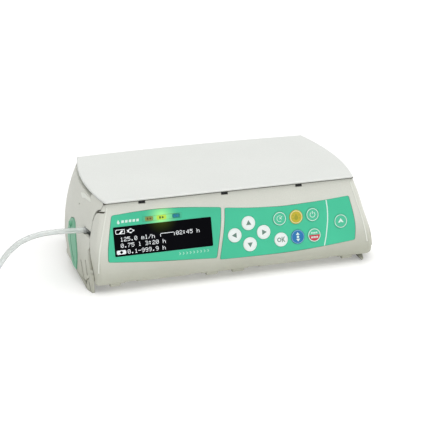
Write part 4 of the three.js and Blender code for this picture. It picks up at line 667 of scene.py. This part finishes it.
mark("foil_mark_low", [on_face([(x, 16.1), (x + 0.8, 17.05), (x, 18.0), (x + 0.75, 18.0), (x + 1.55, 17.05), (x + 0.75, 16.1)], -0.05, 0.06) for x in (-44, -41.3, -38.6, -35.9, -33.2, -30.5, -27.8, -25.1, -22.4)], make("ink_pale", (0.40, 0.78, 0.62), 0.45, blotch=0.06, grain=2600, soft=0), "door", "green")

# ---------------------------------------------------------------- lock lever
lever = both(envelope(-0.7), prism_x(eased(LOCK_YZ, 1.2, 4), -130, -98))
cut(lever, envelope(2.3))
add(lever, cyl_x(2.4, -114.4, -110.5, -1.5, 35.2, 32))
cut(lever, cyl_x(1.3, -120, -113.6, -1.5, 35.2, 24), cut(prism_x(stroke([(-1.5, 33.0), (-8, 27.0), (-17, 19.2), (-25.2, 12.4)], 1.3), -130, -100), envelope(0.35)))
finish_piece(lever, "lock_lever", LEVER, "stack_lock", "stack_lock", slot="lever")

# -------------------------------------------------------------- battery door
bc = both(loft([(z, outline(z, 0)) for z in Z_OUT]), block(19.5, 85.5, 57.9, 70, 9.7, 40.5))
cut(bc, block(44, 61, 59.2, 70, 30, 38.5), *[block(25, 39, 61.0 - 0.2, 70, 13 + i * 2.6, 14.2 + i * 2.6) for i in range(8)])
finish_piece(bc, "battery_lid", SHELL, "battery", "battery_cover", slot="shell")
bl = add(block(44.6, 54.2, 59.45, 60.4, 31, 37.5), *[block(45.4 + i * 1.5, 46.1 + i * 1.5, 60.3, 60.95, 31.6, 36.9) for i in range(6)])
finish_piece(bl, "battery_catch", LEVER, "battery_latch", "battery_latch", slot="lever")

for k in (OUTER, INNER, SKIN):
    dd = k.data; bpy.data.objects.remove(k); bpy.data.meshes.remove(dd)

# ------------------------------------------------- line parts and the fittings
def lathe_x(name, prof, y, z, n=40):
    v = []; f = []
    for x, r in prof: v += [(x, y + r * math.cos(2 * math.pi * i / n), z + r * math.sin(2 * math.pi * i / n)) for i in range(n)]
    for k in range(len(prof) - 1): f += [[k * n + i, k * n + (i + 1) % n, (k + 1) * n + (i + 1) % n, (k + 1) * n + i] for i in range(n)]
    f += [list(range(n))[::-1], [(len(prof) - 1) * n + i for i in range(n)]]
    return solid(name, v, f)


seg = lathe_x("s", [(-80, 2.2), (-79.7, 2.5)] + [(-79 + 1.5 * i, 2.5) for i in range(101)] + [(72.2, 2.5), (72.5, 2.2)], -32, 41)
finish_piece(seg, "silicone_segment", SILICONE, "pump_body", "pump_segment", slot="line")
con = lathe_x("c", [(72.8, 3.2), (73.2, 3.6), (75.2, 3.6), (75.5, 3.3), (76.5, 3.3), (76.8, 3.6), (78.8, 3.6), (79.1, 3.3), (80.1, 3.3), (80.4, 3.6), (83.5, 3.6), (84.0, 3.1), (84.2, 2.4), (96.6, 2.4), (97.0, 2.0)], -32, 41)
finish_piece(con, "upstream_fitting", WHITE, "pump_body", "upstream_connector", slot="white")
luer = lathe_x("l", [(-192.4, 2.45), (-192.0, 2.7), (-185.2, 2.7), (-184.4, 2.9), (-184.0, 3.35), (-182.9, 3.35), (-182.5, 3.05), (-181.7, 3.05), (-181.3, 3.35), (-180.3, 3.35), (-179.9, 3.05), (-179.1, 3.05), (-178.7, 3.35), (-176.5, 3.35), (-176.0, 3.0)], 36.9, 3.4)
cut(luer, cyl_x(1.9, -180, -170, 36.9, 3.4, 32))
finish_piece(luer, "luer_fitting", WHITE, "pump_body", "luer_connector", slot="white")
x0, x1, ty = -211 - 22.5 - 11.4, -211 - 22.5 + 11.4, 1.0
tie = cut(prism_y(rect(x0, x1, 0.0, 9.8, 1.6, 8), ty - 1.5, ty + 1.5), prism_y(rect(x0 + 0.5, x1 - 0.5, 0.5, 9.3, 1.3, 8), ty - 4, ty + 4))
add(tie, prism_y(rect(-224.6, -220.9 - 1.2, 3.2, 6.9, 0.5, 4), ty - 1.45, ty + 1.45))
finish_piece(tie, "coil_tie", TIE, "pump_body", "line_tie", slot="white")

# --------------------------------------------------- CAD pieces that stay as is
KEEP = {"front_chassis": CHASSIS, "right_rail": SHELL, "circuit_board": PCB, "power_port": DARK, "accessory_port": DARK, "drive_motor": STEEL,
        "cam_cradle": ALU, "air_sensor": DARK, "pressure_sensor": WHITE, "hinge_rod": STEEL, "clamp_rail": ALU, "battery_pack": DARK, "camshaft": STEEL, "cam_gear": BRASS,
        "motor_pinion": STEEL, "latch_shaft": STEEL, "door_backplate": CHASSIS, "display_screen": LCD, "display_board": PCB, "platen": WHITE}
for i in range(1, 5): KEEP["base_screw_%d" % i] = STEEL
for i in range(1, 8): KEEP["finger_%d" % i] = WHITE
for name, m in KEEP.items():
    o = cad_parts[name]
    o.data.materials.clear(); o.data.materials.append(m)
    o.data.set_sharp_from_angle(angle=math.radians(30))
    if name in ("left_rail", "right_rail", "battery_pack", "clamp_rail", "platen", "power_port", "accessory_port", "cam_cradle") or name.startswith("finger"):
        b = o.modifiers.new("edge", "BEVEL"); b.width = 0.0004 if "rail" in name else 0.0003; b.segments = 3; b.limit_method = "ANGLE"; b.angle_limit = math.radians(35)
        w = o.modifiers.new("normals", "WEIGHTED_NORMAL"); w.keep_sharp = True

# -------------------------------------------------------------- floor, light
bm = bmesh.new(); bmesh.ops.create_grid(bm, x_segments=2, y_segments=2, size=4)
me = bpy.data.meshes.new("floor"); bm.to_mesh(me); bm.free(); me.materials.append(FLOOR)
fl = bpy.data.objects.new("floor", me); COL.objects.link(fl)
w = bpy.data.worlds.new("studio"); bpy.context.scene.world = w; w.use_nodes = True
w.node_tree.nodes["Background"].inputs[0].default_value = (1, 1, 1, 1)
w.node_tree.nodes["Background"].inputs[1].default_value = 0.45
L = bpy.data.lights.new("overhead", "SUN"); L.energy = 2.15; L.angle = math.radians(75); L.color = (1, 0.998, 0.99)
o = bpy.data.objects.new("overhead", L); o.rotation_euler = (math.radians(9), math.radians(11), 0); COL.objects.link(o)
